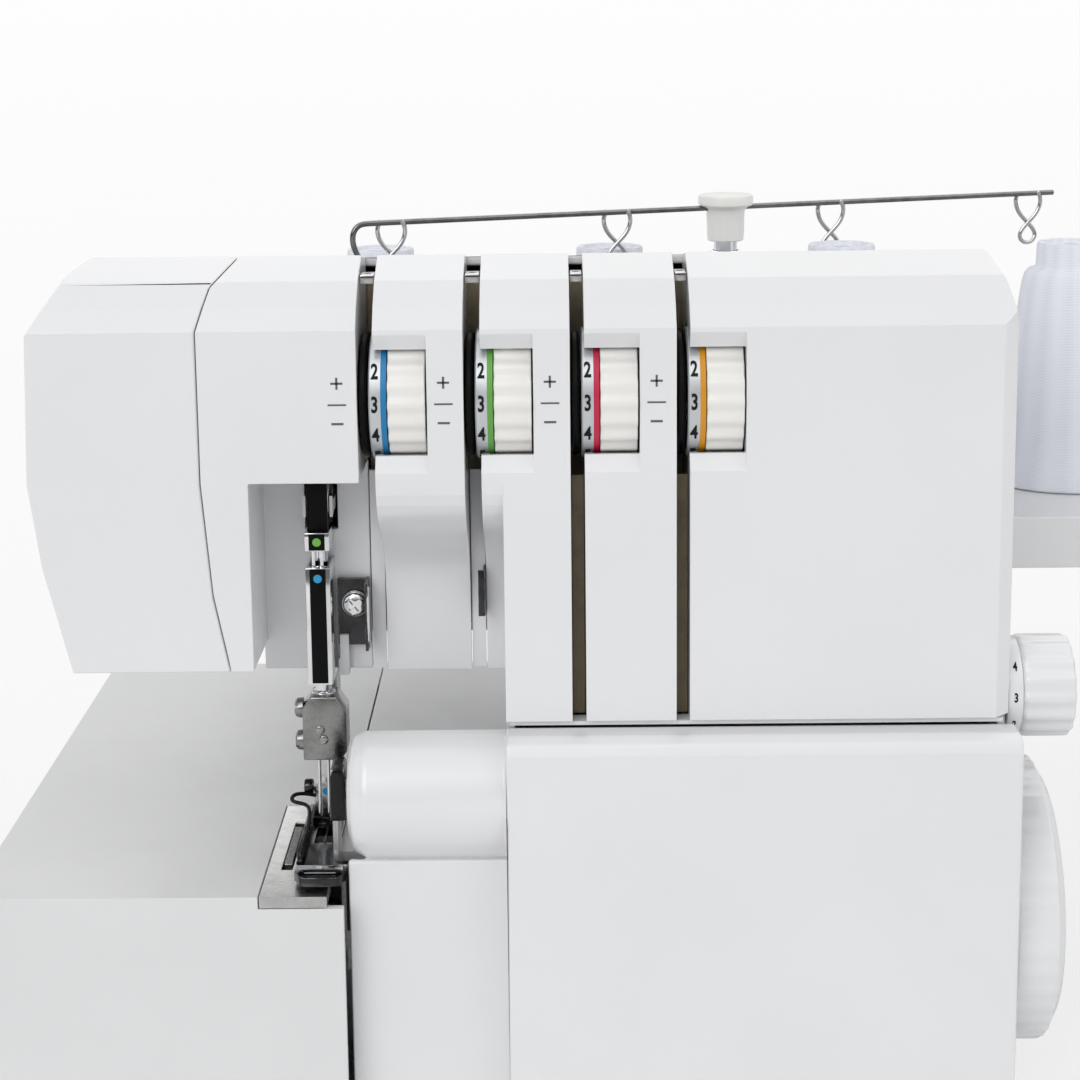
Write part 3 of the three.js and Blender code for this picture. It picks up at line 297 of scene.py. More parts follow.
def new_group(name, inputs, outputs):
    group = bpy.data.node_groups.new(name, "ShaderNodeTree")
    for label, kind, value in inputs:
        group.interface.new_socket(name=label, in_out="INPUT", socket_type=kind).default_value = value
    for label, kind in outputs:
        group.interface.new_socket(name=label, in_out="OUTPUT", socket_type=kind)
    return group, group.nodes.new("NodeGroupInput"), group.nodes.new("NodeGroupOutput")


def node(tree, kind, links=(), **settings):
    """Adds a node; links are (input, socket) pairs and settings are its properties or input values."""
    made = tree.nodes.new(kind)
    for name, value in settings.items():
        if hasattr(made, name):
            setattr(made, name, value)
        else:
            made.inputs[name.replace("_", " ")].default_value = value
    for name, socket in links:
        tree.links.new(socket, made.inputs[name])
    return made


def noise(tree, vector, size, detail=2.0, roughness=0.5):
    """Noise with features about so many millimetres across."""
    return node(
        tree, "ShaderNodeTexNoise", [("Vector", vector)],
        Scale=1 / (size * MM), Detail=detail, Roughness=roughness,
    ).outputs["Fac"]


def spread(tree, value, low, high, start=0.3, end=0.7):
    """Stretches a mask so that it runs from low to high."""
    made = node(tree, "ShaderNodeMapRange", [("Value", value)])
    for name, number in (("From Min", start), ("From Max", end), ("To Min", low), ("To Max", high)):
        if isinstance(number, bpy.types.NodeSocket):
            tree.links.new(number, made.inputs[name])
        else:
            made.inputs[name].default_value = number
    return made.outputs["Result"]


def mixed(tree, factor, first, second):
    """One colour over another by a mask."""
    made = tree.nodes.new("ShaderNodeMix")
    made.data_type = "RGBA"
    for index, value in ((0, factor), (6, first), (7, second)):
        if isinstance(value, bpy.types.NodeSocket):
            tree.links.new(value, made.inputs[index])
        else:
            made.inputs[index].default_value = value
    return made.outputs[2]


def product_of(tree, first, second):
    """One mask times another."""
    return node(tree, "ShaderNodeMath", [(0, first), (1, second)], operation="MULTIPLY").outputs[0]


def send(group, out, **sockets):
    """Links sockets to the outputs of a group that have their names."""
    for name, socket in sockets.items():
        group.links.new(socket, out.inputs[name])


def moulded_group():
    group, given, out = new_group(
        "Moulded surface",
        [("Colour", COLOUR, (0.8, 0.8, 0.8, 1)), ("Aged Colour", COLOUR, (0.7, 0.7, 0.7, 1)),
         ("Gloss", FLOAT, 0.25), ("Worn Gloss", FLOAT, 0.4)],
        [("Colour", COLOUR), ("Roughness", FLOAT), ("Height", FLOAT)],
    )
    place = node(group, "ShaderNodeTexCoord").outputs["Object"]
    drift = spread(group, noise(group, place, 60, 3), 0.0, 1.0)
    handling = noise(group, place, 14, 4, 0.6)
    handled = spread(group, handling, given.outputs["Gloss"], given.outputs["Worn Gloss"])
    grain = noise(group, place, 0.35, 2)
    tone = mixed(group, drift, given.outputs["Colour"], given.outputs["Aged Colour"])
    send(group, out, Colour=tone, Roughness=handled, Height=grain)
    return group


def dust_group():
    group, given, out = new_group(
        "Settled dust",
        [("Colour", COLOUR, (0.8, 0.8, 0.8, 1)), ("Dust Colour", COLOUR, (0.62, 0.59, 0.54, 1)),
         ("Amount", FLOAT, 0.1)],
        [("Colour", COLOUR), ("Mask", FLOAT)],
    )
    place = node(group, "ShaderNodeTexCoord").outputs["Object"]
    normal = node(group, "ShaderNodeNewGeometry").outputs["Normal"]
    facing = node(group, "ShaderNodeSeparateXYZ", [("Vector", normal)])
    upward = spread(group, facing.outputs["Z"], 0.0, 1.0, 0.55, 0.95)
    patchy = spread(group, noise(group, place, 9, 6, 0.7), 0.2, 1.0, 0.4, 0.7)
    mask = product_of(group, product_of(group, upward, patchy), given.outputs["Amount"])
    dusted = mixed(group, mask, given.outputs["Colour"], given.outputs["Dust Colour"])
    send(group, out, Colour=dusted, Mask=mask)
    return group


def ground_group():
    """Fine parallel lines, as grinding and drawing leave on steel."""
    group, given, out = new_group(
        "Ground lines",
        [("Colour", COLOUR, (0.5, 0.5, 0.5, 1)), ("Dark Colour", COLOUR, (0.3, 0.3, 0.3, 1)),
         ("Stretch", VECTOR, (1, 1, 12)), ("Smooth", FLOAT, 0.2), ("Coarse", FLOAT, 0.4)],
        [("Colour", COLOUR), ("Roughness", FLOAT), ("Height", FLOAT)],
    )
    place = node(group, "ShaderNodeTexCoord").outputs["Object"]
    along = node(group, "ShaderNodeVectorMath", operation="DIVIDE")
    group.links.new(place, along.inputs[0])
    group.links.new(given.outputs["Stretch"], along.inputs[1])
    lines = noise(group, along.outputs[0], 0.25, 2)
    stains = spread(group, noise(group, place, 6, 4, 0.6), 0.0, 1.0, 0.45, 0.75)
    tone = mixed(group, stains, given.outputs["Colour"], given.outputs["Dark Colour"])
    uneven = spread(group, lines, given.outputs["Smooth"], given.outputs["Coarse"])
    send(group, out, Colour=tone, Roughness=uneven, Height=lines)
    return group


def worn_edge_group():
    """Where an edge has rubbed bright: the rounded normal differs from the real one."""
    group, given, out = new_group("Rubbed edges", [("Amount", FLOAT, 0.5)], [("Mask", FLOAT)])
    soft = node(group, "ShaderNodeBevel", samples=4, Radius=0.5 * MM).outputs["Normal"]
    sharp = node(group, "ShaderNodeNewGeometry").outputs["Normal"]
    place = node(group, "ShaderNodeTexCoord").outputs["Object"]
    product = node(group, "ShaderNodeVectorMath", operation="DOT_PRODUCT")
    group.links.new(soft, product.inputs[0])
    group.links.new(sharp, product.inputs[1])
    edge = spread(group, product.outputs["Value"], 1.0, 0.0, 0.86, 0.995)
    patchy = spread(group, noise(group, place, 2.5, 4, 0.7), 0.0, 1.0, 0.42, 0.6)
    mask = product_of(group, product_of(group, edge, patchy), given.outputs["Amount"])
    send(group, out, Mask=mask)
    return group


MOULDED, DUST, GROUND, RUBBED = moulded_group(), dust_group(), ground_group(), worn_edge_group()
print("groups:", [group.name for group in bpy.data.node_groups])

# %% [markdown]
# ## Plastics
# The housing is glossy cool-white ABS. The bed is the same plastic a little darker, the dial grips are
# a warmer white, and the working parts near the needle are black nylon.

# %% Plastic materials
def shader(name, **values):
    """A new material and its main shader, with constant values set on the shader itself."""
    material = bpy.data.materials.new(name)
    material.use_nodes = True
    main = material.node_tree.nodes["Principled BSDF"]
    for label, value in values.items():
        main.inputs[label.replace("_", " ")].default_value = value
    return material, material.node_tree, main


def grouped(tree, group, links=(), **values):
    made = tree.nodes.new("ShaderNodeGroup")
    made.node_tree = group
    for name, value in values.items():
        made.inputs[name.replace("_", " ")].default_value = value
    for name, socket in links:
        tree.links.new(socket, made.inputs[name])
    return made


def bumped(tree, main, height, depth, strength):
    """Feeds a height into the surface normal; depth is in millimetres."""
    bump = node(tree, "ShaderNodeBump", [("Height", height)], Strength=strength, Distance=depth * MM)
    tree.links.new(bump.outputs["Normal"], main.inputs["Normal"])


def plastic(name, colour, aged, gloss, worn, grain=0.02, dust=0.05, coat=0.0, shine=0.5):
    material, tree, main = shader(
        name, Coat_Weight=coat, Coat_Roughness=0.08, IOR=1.5, Specular_IOR_Level=shine
    )
    skin = grouped(tree, MOULDED, Colour=(*colour, 1), Aged_Colour=(*aged, 1), Gloss=gloss, Worn_Gloss=worn)
    film = grouped(tree, DUST, [("Colour", skin.outputs["Colour"])], Amount=dust)
    tree.links.new(film.outputs["Colour"], main.inputs["Base Color"])
    tree.links.new(skin.outputs["Roughness"], main.inputs["Roughness"])
    bumped(tree, main, skin.outputs["Height"], grain, 0.25)
    return material


white = plastic("cool white ABS", (0.78, 0.785, 0.80), (0.755, 0.76, 0.77), 0.2, 0.27, coat=0.35)
bed_grey = plastic(
    "bed grey ABS", (0.74, 0.745, 0.75),
    (0.71, 0.715, 0.72), 0.3, 0.4, grain=0.05, dust=0.08,
)
grip_white = plastic("dial white ABS", (0.84, 0.83, 0.80), (0.80, 0.79, 0.76), 0.3, 0.4)
black = plastic(
    "black nylon", (0.010, 0.010, 0.011),
    (0.016, 0.016, 0.017), 0.28, 0.42, dust=0.02, shine=0.3,
)
gloss_black = plastic(
    "black enamel", (0.004, 0.004, 0.005),
    (0.007, 0.007, 0.007), 0.1, 0.16, dust=0.01, shine=0.3,
)
deep_black = plastic(
    "matt black", (0.003, 0.003, 0.003),
    (0.006, 0.006, 0.006), 0.35, 0.45, dust=0.0, shine=0.08,
)
rubber = plastic("rubber", (0.018, 0.018, 0.019), (0.03, 0.03, 0.03), 0.7, 0.85, grain=0.12, dust=0.2)
print_grey = plastic("grey print", (0.09, 0.095, 0.10), (0.11, 0.11, 0.115), 0.5, 0.6, dust=0.02)
print_black = plastic(
    "black print", (0.010, 0.010, 0.012),
    (0.02, 0.02, 0.02), 0.45, 0.55, dust=0.0, shine=0.1,
)
dot_green = plastic("green paint", (0.17, 0.50, 0.08), (0.14, 0.42, 0.07), 0.3, 0.4)
dot_blue = plastic("blue paint", (0.02, 0.32, 0.62), (0.02, 0.27, 0.52), 0.3, 0.4)
BANDS = [
    ("dial_blue", plastic("blue band", (0.006, 0.20, 0.45), (0.005, 0.17, 0.38), 0.3, 0.4)),
    ("dial_green", plastic("green band", (0.12, 0.38, 0.06), (0.10, 0.32, 0.05), 0.3, 0.4)),
    ("dial_crimson", plastic("crimson band", (0.55, 0.008, 0.06), (0.47, 0.007, 0.05), 0.3, 0.4)),
    ("dial_golden", plastic("golden band", (0.68, 0.30, 0.008), (0.58, 0.25, 0.007), 0.3, 0.4)),
]

# %% [markdown]
# ## Metals
# Needle and presser bars are hard chrome. Clamps, knives and plates are ground steel with fine lines.
# Brackets are blackened steel that has rubbed bright at its edges, and the frame is a rough casting.

# %% Metal materials
def metal(name, colour, dark, smooth, coarse, stretch=(1, 1, 12), depth=0.01, rub=0.0, metallic=1.0):
    material, tree, main = shader(name, Metallic=metallic)
    lines = grouped(
        tree, GROUND, Colour=(*colour, 1), Dark_Colour=(*dark, 1), Stretch=stretch, Smooth=smooth, Coarse=coarse
    )
    colour_out = lines.outputs["Colour"]
    if rub:
        rubbed = grouped(tree, RUBBED, Amount=rub)
        colour_out = mixed(tree, rubbed.outputs["Mask"], colour_out, (0.62, 0.62, 0.61, 1))
    tree.links.new(colour_out, main.inputs["Base Color"])
    tree.links.new(lines.outputs["Roughness"], main.inputs["Roughness"])
    bumped(tree, main, lines.outputs["Height"], depth, 0.3)
    return material


chrome = metal("hard chrome", (0.78, 0.79, 0.80), (0.66, 0.67, 0.68), 0.06, 0.13, (1, 1, 1), 0.003)
steel = metal("ground steel", (0.52, 0.52, 0.51), (0.40, 0.40, 0.39), 0.22, 0.38)
steel_across = metal("ground steel across", (0.56, 0.56, 0.55), (0.44, 0.44, 0.43), 0.22, 0.36, (12, 1, 1))
dark_steel = metal("blackened steel", (0.055, 0.055, 0.058), (0.03, 0.03, 0.03), 0.14, 0.28, rub=0.6)
casting = metal("die casting", (0.42, 0.43, 0.44), (0.30, 0.30, 0.31), 0.45, 0.6, (1, 1, 1), 0.15, rub=0.4)
scale_silver = metal(
    "silver scale", (0.60, 0.62, 0.64),
    (0.54, 0.56, 0.58), 0.3, 0.4, (1, 6, 6), 0.004, metallic=0.6,
)
# The tension plate is a real part, but its warm olive-brown colour is painted shade that copies the shaded look
# of the slots.
slot_plate_shade_tone = metal("slot plate painted shade", (0.56, 0.48, 0.33), (0.42, 0.36, 0.25), 0.4, 0.55, metallic=0.1)
# Dark brown for the sheets low in the last two slots: painted shade for the shadow deep in those slots.
slot_shade_paint = metal(
    "slot painted shade", (0.13, 0.10, 0.055),
    (0.09, 0.07, 0.04), 0.4, 0.55, (1, 1, 40), 0.02, metallic=0.1,
)
clamp_steel = metal("clamp steel", (0.30, 0.30, 0.295), (0.20, 0.20, 0.195), 0.2, 0.34, (12, 1, 1), rub=0.7)
steel_bright = metal("bright wire", (0.50, 0.50, 0.50), (0.42, 0.42, 0.42), 0.1, 0.18, (1, 1, 1), 0.003)
# The guide bar's steel is made very dark: a painted dark reflection, in place of the dark room a chrome bar
# would mirror.
wire_dark_reflection = metal("wire steel painted dark reflection", (0.17, 0.17, 0.175), (0.10, 0.10, 0.10), 0.12, 0.22, (1, 1, 1), 0.003)
screw_steel = metal("set screw steel", (0.40, 0.39, 0.37), (0.28, 0.27, 0.25), 0.16, 0.3)

# %% [markdown]
# ## Thread
# A cone is wound with two crossing spirals. The pattern follows the angle round the cone and the height
# up it, so it is drawn from the cone's own axis: a Mapping node moves the origin there first.

# %% Thread material
def wound_thread(name, axis_place):
    material, tree, main = shader(name, Roughness=0.75, Sheen_Weight=0.35, Sheen_Roughness=0.4)
    place = node(tree, "ShaderNodeTexCoord").outputs["Object"]
    centred = node(tree, "ShaderNodeMapping", [("Vector", place)], Location=[-value for value in axis_place])
    turn = node(tree, "ShaderNodeTexGradient", [("Vector", centred.outputs[0])], gradient_type="RADIAL")
    height = node(tree, "ShaderNodeSeparateXYZ", [("Vector", centred.outputs[0])])
    strands = []
    for lean in (7.0, -7.0):
        angle = node(tree, "ShaderNodeMath", [(0, turn.outputs["Fac"])], operation="MULTIPLY")
        angle.inputs[1].default_value = math.tau * lean
        rise = node(tree, "ShaderNodeMath", [(0, height.outputs["Z"])], operation="MULTIPLY_ADD")
        rise.inputs[1].default_value = math.tau / (0.55 * MM)
        tree.links.new(angle.outputs[0], rise.inputs[2])
        strands.append(node(tree, "ShaderNodeMath", [(0, rise.outputs[0])], operation="SINE"))
    wound = node(
        tree, "ShaderNodeMath", [(0, strands[0].outputs[0]), (1, strands[1].outputs[0])], operation="MAXIMUM"
    )
    shade = spread(tree, wound.outputs[0], 0.0, 1.0, -0.4, 1.0)
    tone = mixed(tree, shade, (0.68, 0.70, 0.78, 1), (0.86, 0.88, 0.94, 1))
    patches = spread(tree, noise(tree, place, 8, 3), 0.0, 0.35)
    tree.links.new(mixed(tree, patches, tone, (0.80, 0.83, 0.90, 1)), main.inputs["Base Color"])
    bumped(tree, main, wound.outputs[0], 0.08, 0.5)
    return material


print("materials:", len(bpy.data.materials))

# %% [markdown]
# ## Mouldings and plain machined parts
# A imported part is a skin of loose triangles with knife-sharp edges. Its copy is welded, the triangles of
# each flat face are dissolved into one, and a bevel rounds what is left. A catch of light along each
# edge is what makes a moulding look moulded. The true part stays hidden underneath for collision.

# %% Welded copies with rounded edges
def chamfered(piece, offset):
    """Cuts off the corner between a moulding's right side and its front."""
    only(piece)
    bpy.ops.object.mode_set(mode="EDIT")
    bpy.ops.mesh.select_mode(type="EDGE")
    bpy.ops.mesh.select_all(action="DESELECT")
    mesh = bmesh.from_edit_mesh(piece.data)
    right = max(vertex.co.x for vertex in mesh.verts)
    for edge in mesh.edges:
        outer = all(abs(vertex.co.x - right) < 0.01 * MM for vertex in edge.verts)
        edge.select_set(outer and any(face.normal.y < -0.3 for face in edge.link_faces))
    bmesh.update_edit_mesh(piece.data)
    bpy.ops.mesh.bevel(offset=offset, segments=1)
    bpy.ops.object.mode_set(mode="OBJECT")


def moulding(part, material, edge=0.5, angle=18, segments=3, smooth=40, chamfer=0):
    """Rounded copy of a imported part; edge is the bevel's width in millimetres."""
    source = frame["nodes"][part]
    piece = new_object(part + "_made", source.data.copy())
    piece.data.materials.clear()
    editing(
        piece,
        (bpy.ops.mesh.remove_doubles, dict(threshold=2e-5)),
        (bpy.ops.mesh.dissolve_limited, dict(angle_limit=math.radians(0.6))),
    )
    if chamfer:
        chamfered(piece, chamfer * MM)
    editing(piece, (bpy.ops.mesh.quads_convert_to_tris, dict(quad_method="BEAUTY", ngon_method="BEAUTY")))
    if edge:
        rounded(piece, edge * MM, segments, angle)
    only(piece)
    bpy.ops.object.modifier_add(type="WEIGHTED_NORMAL")
    piece.modifiers[-1].keep_sharp = True
    name = piece.modifiers[-1].name
    made = finished(piece, part + "_made", body_of(part), material, [part], smooth)
    only(made)
    bpy.ops.object.modifier_apply(modifier=name)
    return made


HOUSING = {
    "face_cover": 0.8, "head_front": 0.4, "tension_strip_1": 0.2, "tension_strip_2": 0.2,
    "tension_strip_3": 0.2, "rear_cover": 0.6, "column_housing": 0.6, "base_pan": 1.0, "thread_tray": 0.9,
}
for part, edge in HOUSING.items():
    moulding(part, white, edge, angle=10)
moulding("right_panel", white, 0.25, angle=10, chamfer=4.4)
moulding("looper_cover", white, 0.9)
moulding("cloth_plate", bed_grey, 0.25)
moulding("bed_cover", bed_grey, 0.2)

MACHINED = {
    "needle_plate": (steel_across, "steel", 0.25), "feed_dog": (steel, "steel", 0.08),
    # The tension plate is real; its warm brown colour is painted shade from the shaded slots.
    "tension_plate": (slot_plate_shade_tone, "dark_steel", 0.2), "main_shaft": (steel, "steel", 0.3),
    "motor": (black, "black_plastic", 0.8), "motor_pulley": (steel, "steel", 0.2),
    "drive_belt": (rubber, "rubber", 0.2), "rocker_shaft": (steel, "steel", 0.3),
    "take_up_lever": (steel, "steel", 0.15), "needle_bar": (chrome, "chrome", 0.3),
    "needle_left": (chrome, "chrome", 0.0), "needle_right": (chrome, "chrome", 0.0),
    "presser_bar": (chrome, "chrome", 0.3), "presser_lifter": (black, "black_plastic", 0.8),
    "upper_knife": (steel, "steel", 0.15), "lower_knife": (steel, "steel", 0.12),
    "upper_looper": (chrome, "chrome", 0.4), "lower_looper": (chrome, "chrome", 0.4),
    "chassis": (casting, "casting", 0.6), "inlet_panel": (black, "black_plastic", 0.5),
    "power_switch": (black, "black_plastic", 0.5), "pressure_screw": (bed_grey, "bed_plastic", 0.5),
    "thread_bracket": (dark_steel, "dark_steel", 0.15),
}
for part, (material, slot, edge) in MACHINED.items():
    moulding(part, material, edge)
for corner in ("front_left", "front_right", "rear_left", "rear_right"):
    moulding("foot_" + corner, rubber, 0.8)

# %% [markdown]
# ## Tension dials
# Each dial shows a silver scale with numbers, a band in its thread's colour and a fluted white grip. The
# ring and band are turned. The grip is a fine-sided cylinder whose side is drawn in along 22 hollows.

# %% Scale, band and grip
SCALE, BAND_END = 3.4, 5.0  # from the dial's left face
RING_RADIUS, FLUTES, FLUTE_DEPTH = 18.7, 22, 0.85


def fluted(low_x, high_x, centre, radius, flutes, depth, edge, sides_each=6):
    """A drum along X with hollows round it."""
    bpy.ops.object.select_all(action="DESELECT")
    bpy.ops.mesh.primitive_cylinder_add(
        vertices=flutes * sides_each, radius=radius, depth=high_x - low_x,
        location=((low_x + high_x) / 2, centre[0], centre[1]), rotation=(0, math.pi / 2, 0),
    )
    drum = bpy.context.object
    bpy.ops.object.transform_apply(location=True, rotation=True, scale=True)
    for vertex in drum.data.vertices:
        offset = Vector((0, vertex.co.y - centre[0], vertex.co.z - centre[1]))
        turn = math.atan2(offset.z, offset.y)
        vertex.co -= offset.normalized() * depth * math.sin(turn * flutes / 2) ** 2
    only(drum)
    bpy.ops.object.mode_set(mode="EDIT")
    pick_faces(drum, lambda middle, normal: abs(normal.x) > 0.9)
    bpy.ops.mesh.inset(thickness=radius * 0.2, depth=0)
    bpy.ops.object.mode_set(mode="OBJECT")
    return rounded(drum, edge, 3, 50)


NARROW = 0.66  # a figure's width against the typeface's own


def numeral(text, height, x, centre, radius, turn, depth=0.25 * MM):
    """A number wrapped onto a drum along X; turn is its place round the drum, from the front down."""
    bpy.ops.object.select_all(action="DESELECT")
    bpy.ops.object.text_add(location=(0, 0, 0))
    letter = bpy.context.object
    letter.data.body = text
    letter.data.align_x, letter.data.align_y = "CENTER", "CENTER"
    letter.data.size = height * 1.38
    letter.data.extrude = depth / 2
    letter.data.offset = height * 0.035
    letter.data.resolution_u = 3
    bpy.ops.object.convert(target="MESH")
    letter = bpy.context.object
    editing(letter, (bpy.ops.mesh.remove_doubles, dict(threshold=1e-6)),
            (bpy.ops.mesh.subdivide, dict(number_cuts=1)))
    for vertex in letter.data.vertices:
        across, up, out = vertex.co
        angle = turn - up / radius
        reach = radius + 0.05 * MM + out
        forward, rise = reach * math.cos(angle), reach * math.sin(angle)
        vertex.co = (x + across * NARROW, centre[0] - forward, centre[1] - rise)
    return letter


def tension_dial(number):
    part = f"tension_dial_{number}"
    low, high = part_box(part)
    centre = axis_along_x(low, high)
    axis_start = Vector((low.x, *centre))
    radius = (high.z - low.z) / 2
    body = body_of(part)
    slot, band_paint = BANDS[number - 1]
    name = f"dial_{number}_"
    ring = [(12, 0), (18.2, 0), (RING_RADIUS, 0.4), (RING_RADIUS, SCALE), (12, SCALE), (12, 0)]
    finished(turned(axis_start, X, ring, 96), name + "scale", body, scale_silver)
    edge = RING_RADIUS + 0.12
    band = [
        (12, SCALE), (edge - 0.1, SCALE), (edge, SCALE + 0.1), (edge, BAND_END), (12, BAND_END), (12, SCALE),
    ]
    finished(turned(axis_start, X, band, 96), name + "band", body, band_paint)
    grip = fluted(low.x + (BAND_END + 0.25) * MM, high.x, centre, radius, FLUTES, FLUTE_DEPTH * MM, 0.5 * MM)
    finished(grip, name + "grip", body, grip_white, [part], 35)
    step = math.radians(29)
    shown = 3
    digits = [
        numeral(str(k), 4.6 * MM, low.x + 1.75 * MM, centre, RING_RADIUS * MM, (k - shown) * step)
        for k in range(10)
    ]
    finished(joined(digits), name + "numbers", body, print_black)


for number in (1, 2, 3, 4):
    tension_dial(number)

# %% [markdown]
# Each slot also shows the rim of its tension disc, a dished black plate on the spindle behind the dial.
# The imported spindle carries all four, so the new one does too: rod, arms and discs in one piece.

# %% Spindle and discs
spindle_low, spindle_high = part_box("tension_spindle")
strip_parts = ["head_front", "tension_strip_1", "tension_strip_2", "tension_strip_3", "right_panel"]
strip_boxes = [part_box(part) for part in strip_parts]
slots = [(a[1].x, b[0].x) for a, b in zip(strip_boxes, strip_boxes[1:])]
dial_low, dial_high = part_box("tension_dial_1")
axis_y, axis_z = axis_along_x(dial_low, dial_high)

DISH = [
    (0, 0.3), (9, 0.3), (13, 0.9), (16.6, 0.6), (17.6, 0.1), (18, 0.5), (18, 1.5), (17.4, 2.1),
    (15, 2.2), (0, 2.2),
]
ARM = 3 * MM  # width of an arm, and half its height
DISC_BEFORE_DIAL, ARM_AFTER_DIAL = 2.7 * MM, 4.1 * MM


def spindle_arm(x):
    """An arm from the spindle's axis back to the casting."""
    return block((x, axis_y, axis_z - ARM), (x + ARM, spindle_high.y, axis_z + ARM), 0.3 * MM)


spindle_pieces = [disc((spindle_low.x, axis_y, axis_z), X, 3, (spindle_high.x - spindle_low.x) / MM, 0.3, 32)]
for number in (1, 2, 3, 4):
    low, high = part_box(f"tension_dial_{number}")
    spindle_pieces.append(turned((low.x - DISC_BEFORE_DIAL, axis_y, axis_z), X, DISH, 96))
    spindle_pieces.append(spindle_arm(high.x + ARM_AFTER_DIAL))
spindle_pieces.append(spindle_arm(spindle_low.x))
finished(
    joined(spindle_pieces), "spindle_and_discs", body_of("tension_spindle"),
    deep_black, ["tension_spindle"],
)
print("slots in mm:", [(round(a / MM, 1), round(b / MM, 1)) for a, b in slots])

# %% [markdown]
# Beside each slot the front is printed with a plus, a long index line that the numbers are read against,
# and a minus. Print is a film a few hundredths of a millimetre thick, so it is a very thin block.

# %% Printed marks
FILM = 0.06 * MM
front_y = head_low.y


def mark(x, z, width, height):
    low = (x - width / 2 * MM, front_y - FILM, z - height / 2 * MM)
    return block(low, (x + width / 2 * MM, front_y + FILM, z + height / 2 * MM))


prints = []
for left, right in slots:
    x = left - 5.6 * MM
    prints += [
        mark(x, axis_z + 6.2 * MM, 3.4, 0.6), mark(x, axis_z + 6.2 * MM, 0.6, 3.4),
        mark(x, axis_z + 0.1 * MM, 5.2, 0.5), mark(x, axis_z - 5.3 * MM, 3.4, 0.65),
    ]
finished(joined(prints), "printed_marks", "body", print_grey)

# %% [markdown]
# At the top of each slot a small bright plate guides the thread on its way down to the discs. It is a
# strip of steel with its front edge bent down and a hole for the thread.

# %% Thread plates in the slots
plates = []
for left, right in slots:
    gap = 0.35 * MM
    y0, y1 = front_y + 15 * MM, front_y + 23 * MM
    top = head_high.z - 4.5 * MM
    plate = block((left + gap, y0, top - 0.8 * MM), (right - gap, y1, top), 0.15 * MM)
    lip = block((left + gap, y0, top - 2.4 * MM), (right - gap, y0 + 0.8 * MM, top - 0.2 * MM), 0.15 * MM)
    hole = turned(((left + right) / 2, y0 + 5 * MM, top - 2 * MM), Z, [(0, 0), (1.1, 0), (1.1, 4), (0, 4)], 24)
    plates += [carved(plate, hole), lip]
finished(joined(plates), "slot_thread_plates", "body", steel_across)

# %% [markdown]
# Under the dials the first two slots open into the recess and end on its white wall. The other two run
# on down to the seam, and low in them a dark brown sheet is painted shade for the shadow deep in the
# slots. The seam itself has a lip behind it.

# %% Walls at the bottom of the slots
SIDE_GAP = 0.3 * MM
WALL_BEHIND_FRONT, WALL_ABOVE_SHAFT = 31 * MM, 13 * MM
wall_y = front_y + WALL_BEHIND_FRONT
wall_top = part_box("rocker_shaft")[0].z + WALL_ABOVE_SHAFT
walls = [
    block((left + SIDE_GAP, wall_y, head_low.z + 0.6 * MM), (right - SIDE_GAP, wall_y + MM, wall_top))
    for left, right in slots[:2]
]
finished(joined(walls), "slot_walls", "body", white)
column_low, column_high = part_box("column_housing")
# Dark brown sheets in the lower part of the last two slots: painted shade where the slots fall into shadow.
backs = [
    block((left + SIDE_GAP, column_low.y - 1.4 * MM, panel_low.z + 0.5 * MM),
          (right - SIDE_GAP, column_low.y - 0.6 * MM, axis_z - 22 * MM))
    for left, right in slots[2:]
]
finished(joined(backs), "slot_shade_sheets", "body", slot_shade_paint)
cover_low, cover_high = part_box("looper_cover")
lip = block((column_low.x + MM, front_y + 1.5 * MM, cover_high.z + 0.5 * MM),
            (column_high.x - 2 * MM, column_low.y - 0.6 * MM, panel_low.z - 0.4 * MM))
finished(lip, "seam_lip", "body", white)

# %% [markdown]
# ## Needle bar, guide and clamp
# In front of the needle bar runs a chrome channel with a black face. Blue and green dots on it tell the
# two needle threads apart. Below it the clamp block holds both needles with screws from side and front.

# %% Thread channel
guide_low, guide_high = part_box("needle_guide")
guide_x = (guide_low.x + guide_high.x) / 2
guide_half = (guide_high.x - guide_low.x) / 2
lower_top, upper_bottom = guide_high.z - 10.5 * MM, guide_high.z - 5.5 * MM


def channel(z0, z1):
    """A chrome U with its open side to the back."""
    outer = block((guide_x - guide_half, guide_low.y, z0), (guide_x + guide_half, guide_high.y, z1), 0.35 * MM)
    inner = block(
        (guide_x - guide_half + 0.8 * MM, guide_low.y + 2.4 * MM, z0 - MM),
        (guide_x + guide_half - 0.8 * MM, guide_high.y + MM, z1 + MM),
    )
    return carved(outer, inner)


neck = [
    block((guide_x + side * 1.2 * MM - 0.5 * MM, guide_low.y + 1.2 * MM, lower_top - MM),
          (guide_x + side * 1.2 * MM + 0.5 * MM, guide_low.y + 2.2 * MM, upper_bottom + MM), 0.15 * MM)
    for side in (-1, 1)
]
finished(
    joined([channel(guide_low.z, lower_top), channel(upper_bottom, guide_high.z), *neck]),
    "thread_channel", "body", chrome, ["needle_guide"],
)
face_half, proud = 2.35 * MM, 0.12 * MM
faces = [
    block((guide_x - face_half, guide_low.y - proud, guide_low.z + 0.6 * MM),
          (guide_x + face_half, guide_low.y + proud, lower_top - 0.3 * MM), 0.08 * MM),
    block((guide_x - face_half, guide_low.y - proud, upper_bottom + 0.3 * MM),
          (guide_x + face_half, guide_low.y + proud, guide_high.z - 0.3 * MM), 0.08 * MM),
]
finished(joined(faces), "thread_channel_face", "body", deep_black)
SHROUD_RISE = 70.2 * MM  # from the lower edge of the front strips to the shroud's top
bar_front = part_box("needle_bar")[0].y
shroud_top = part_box("tension_strip_3")[0].z + SHROUD_RISE
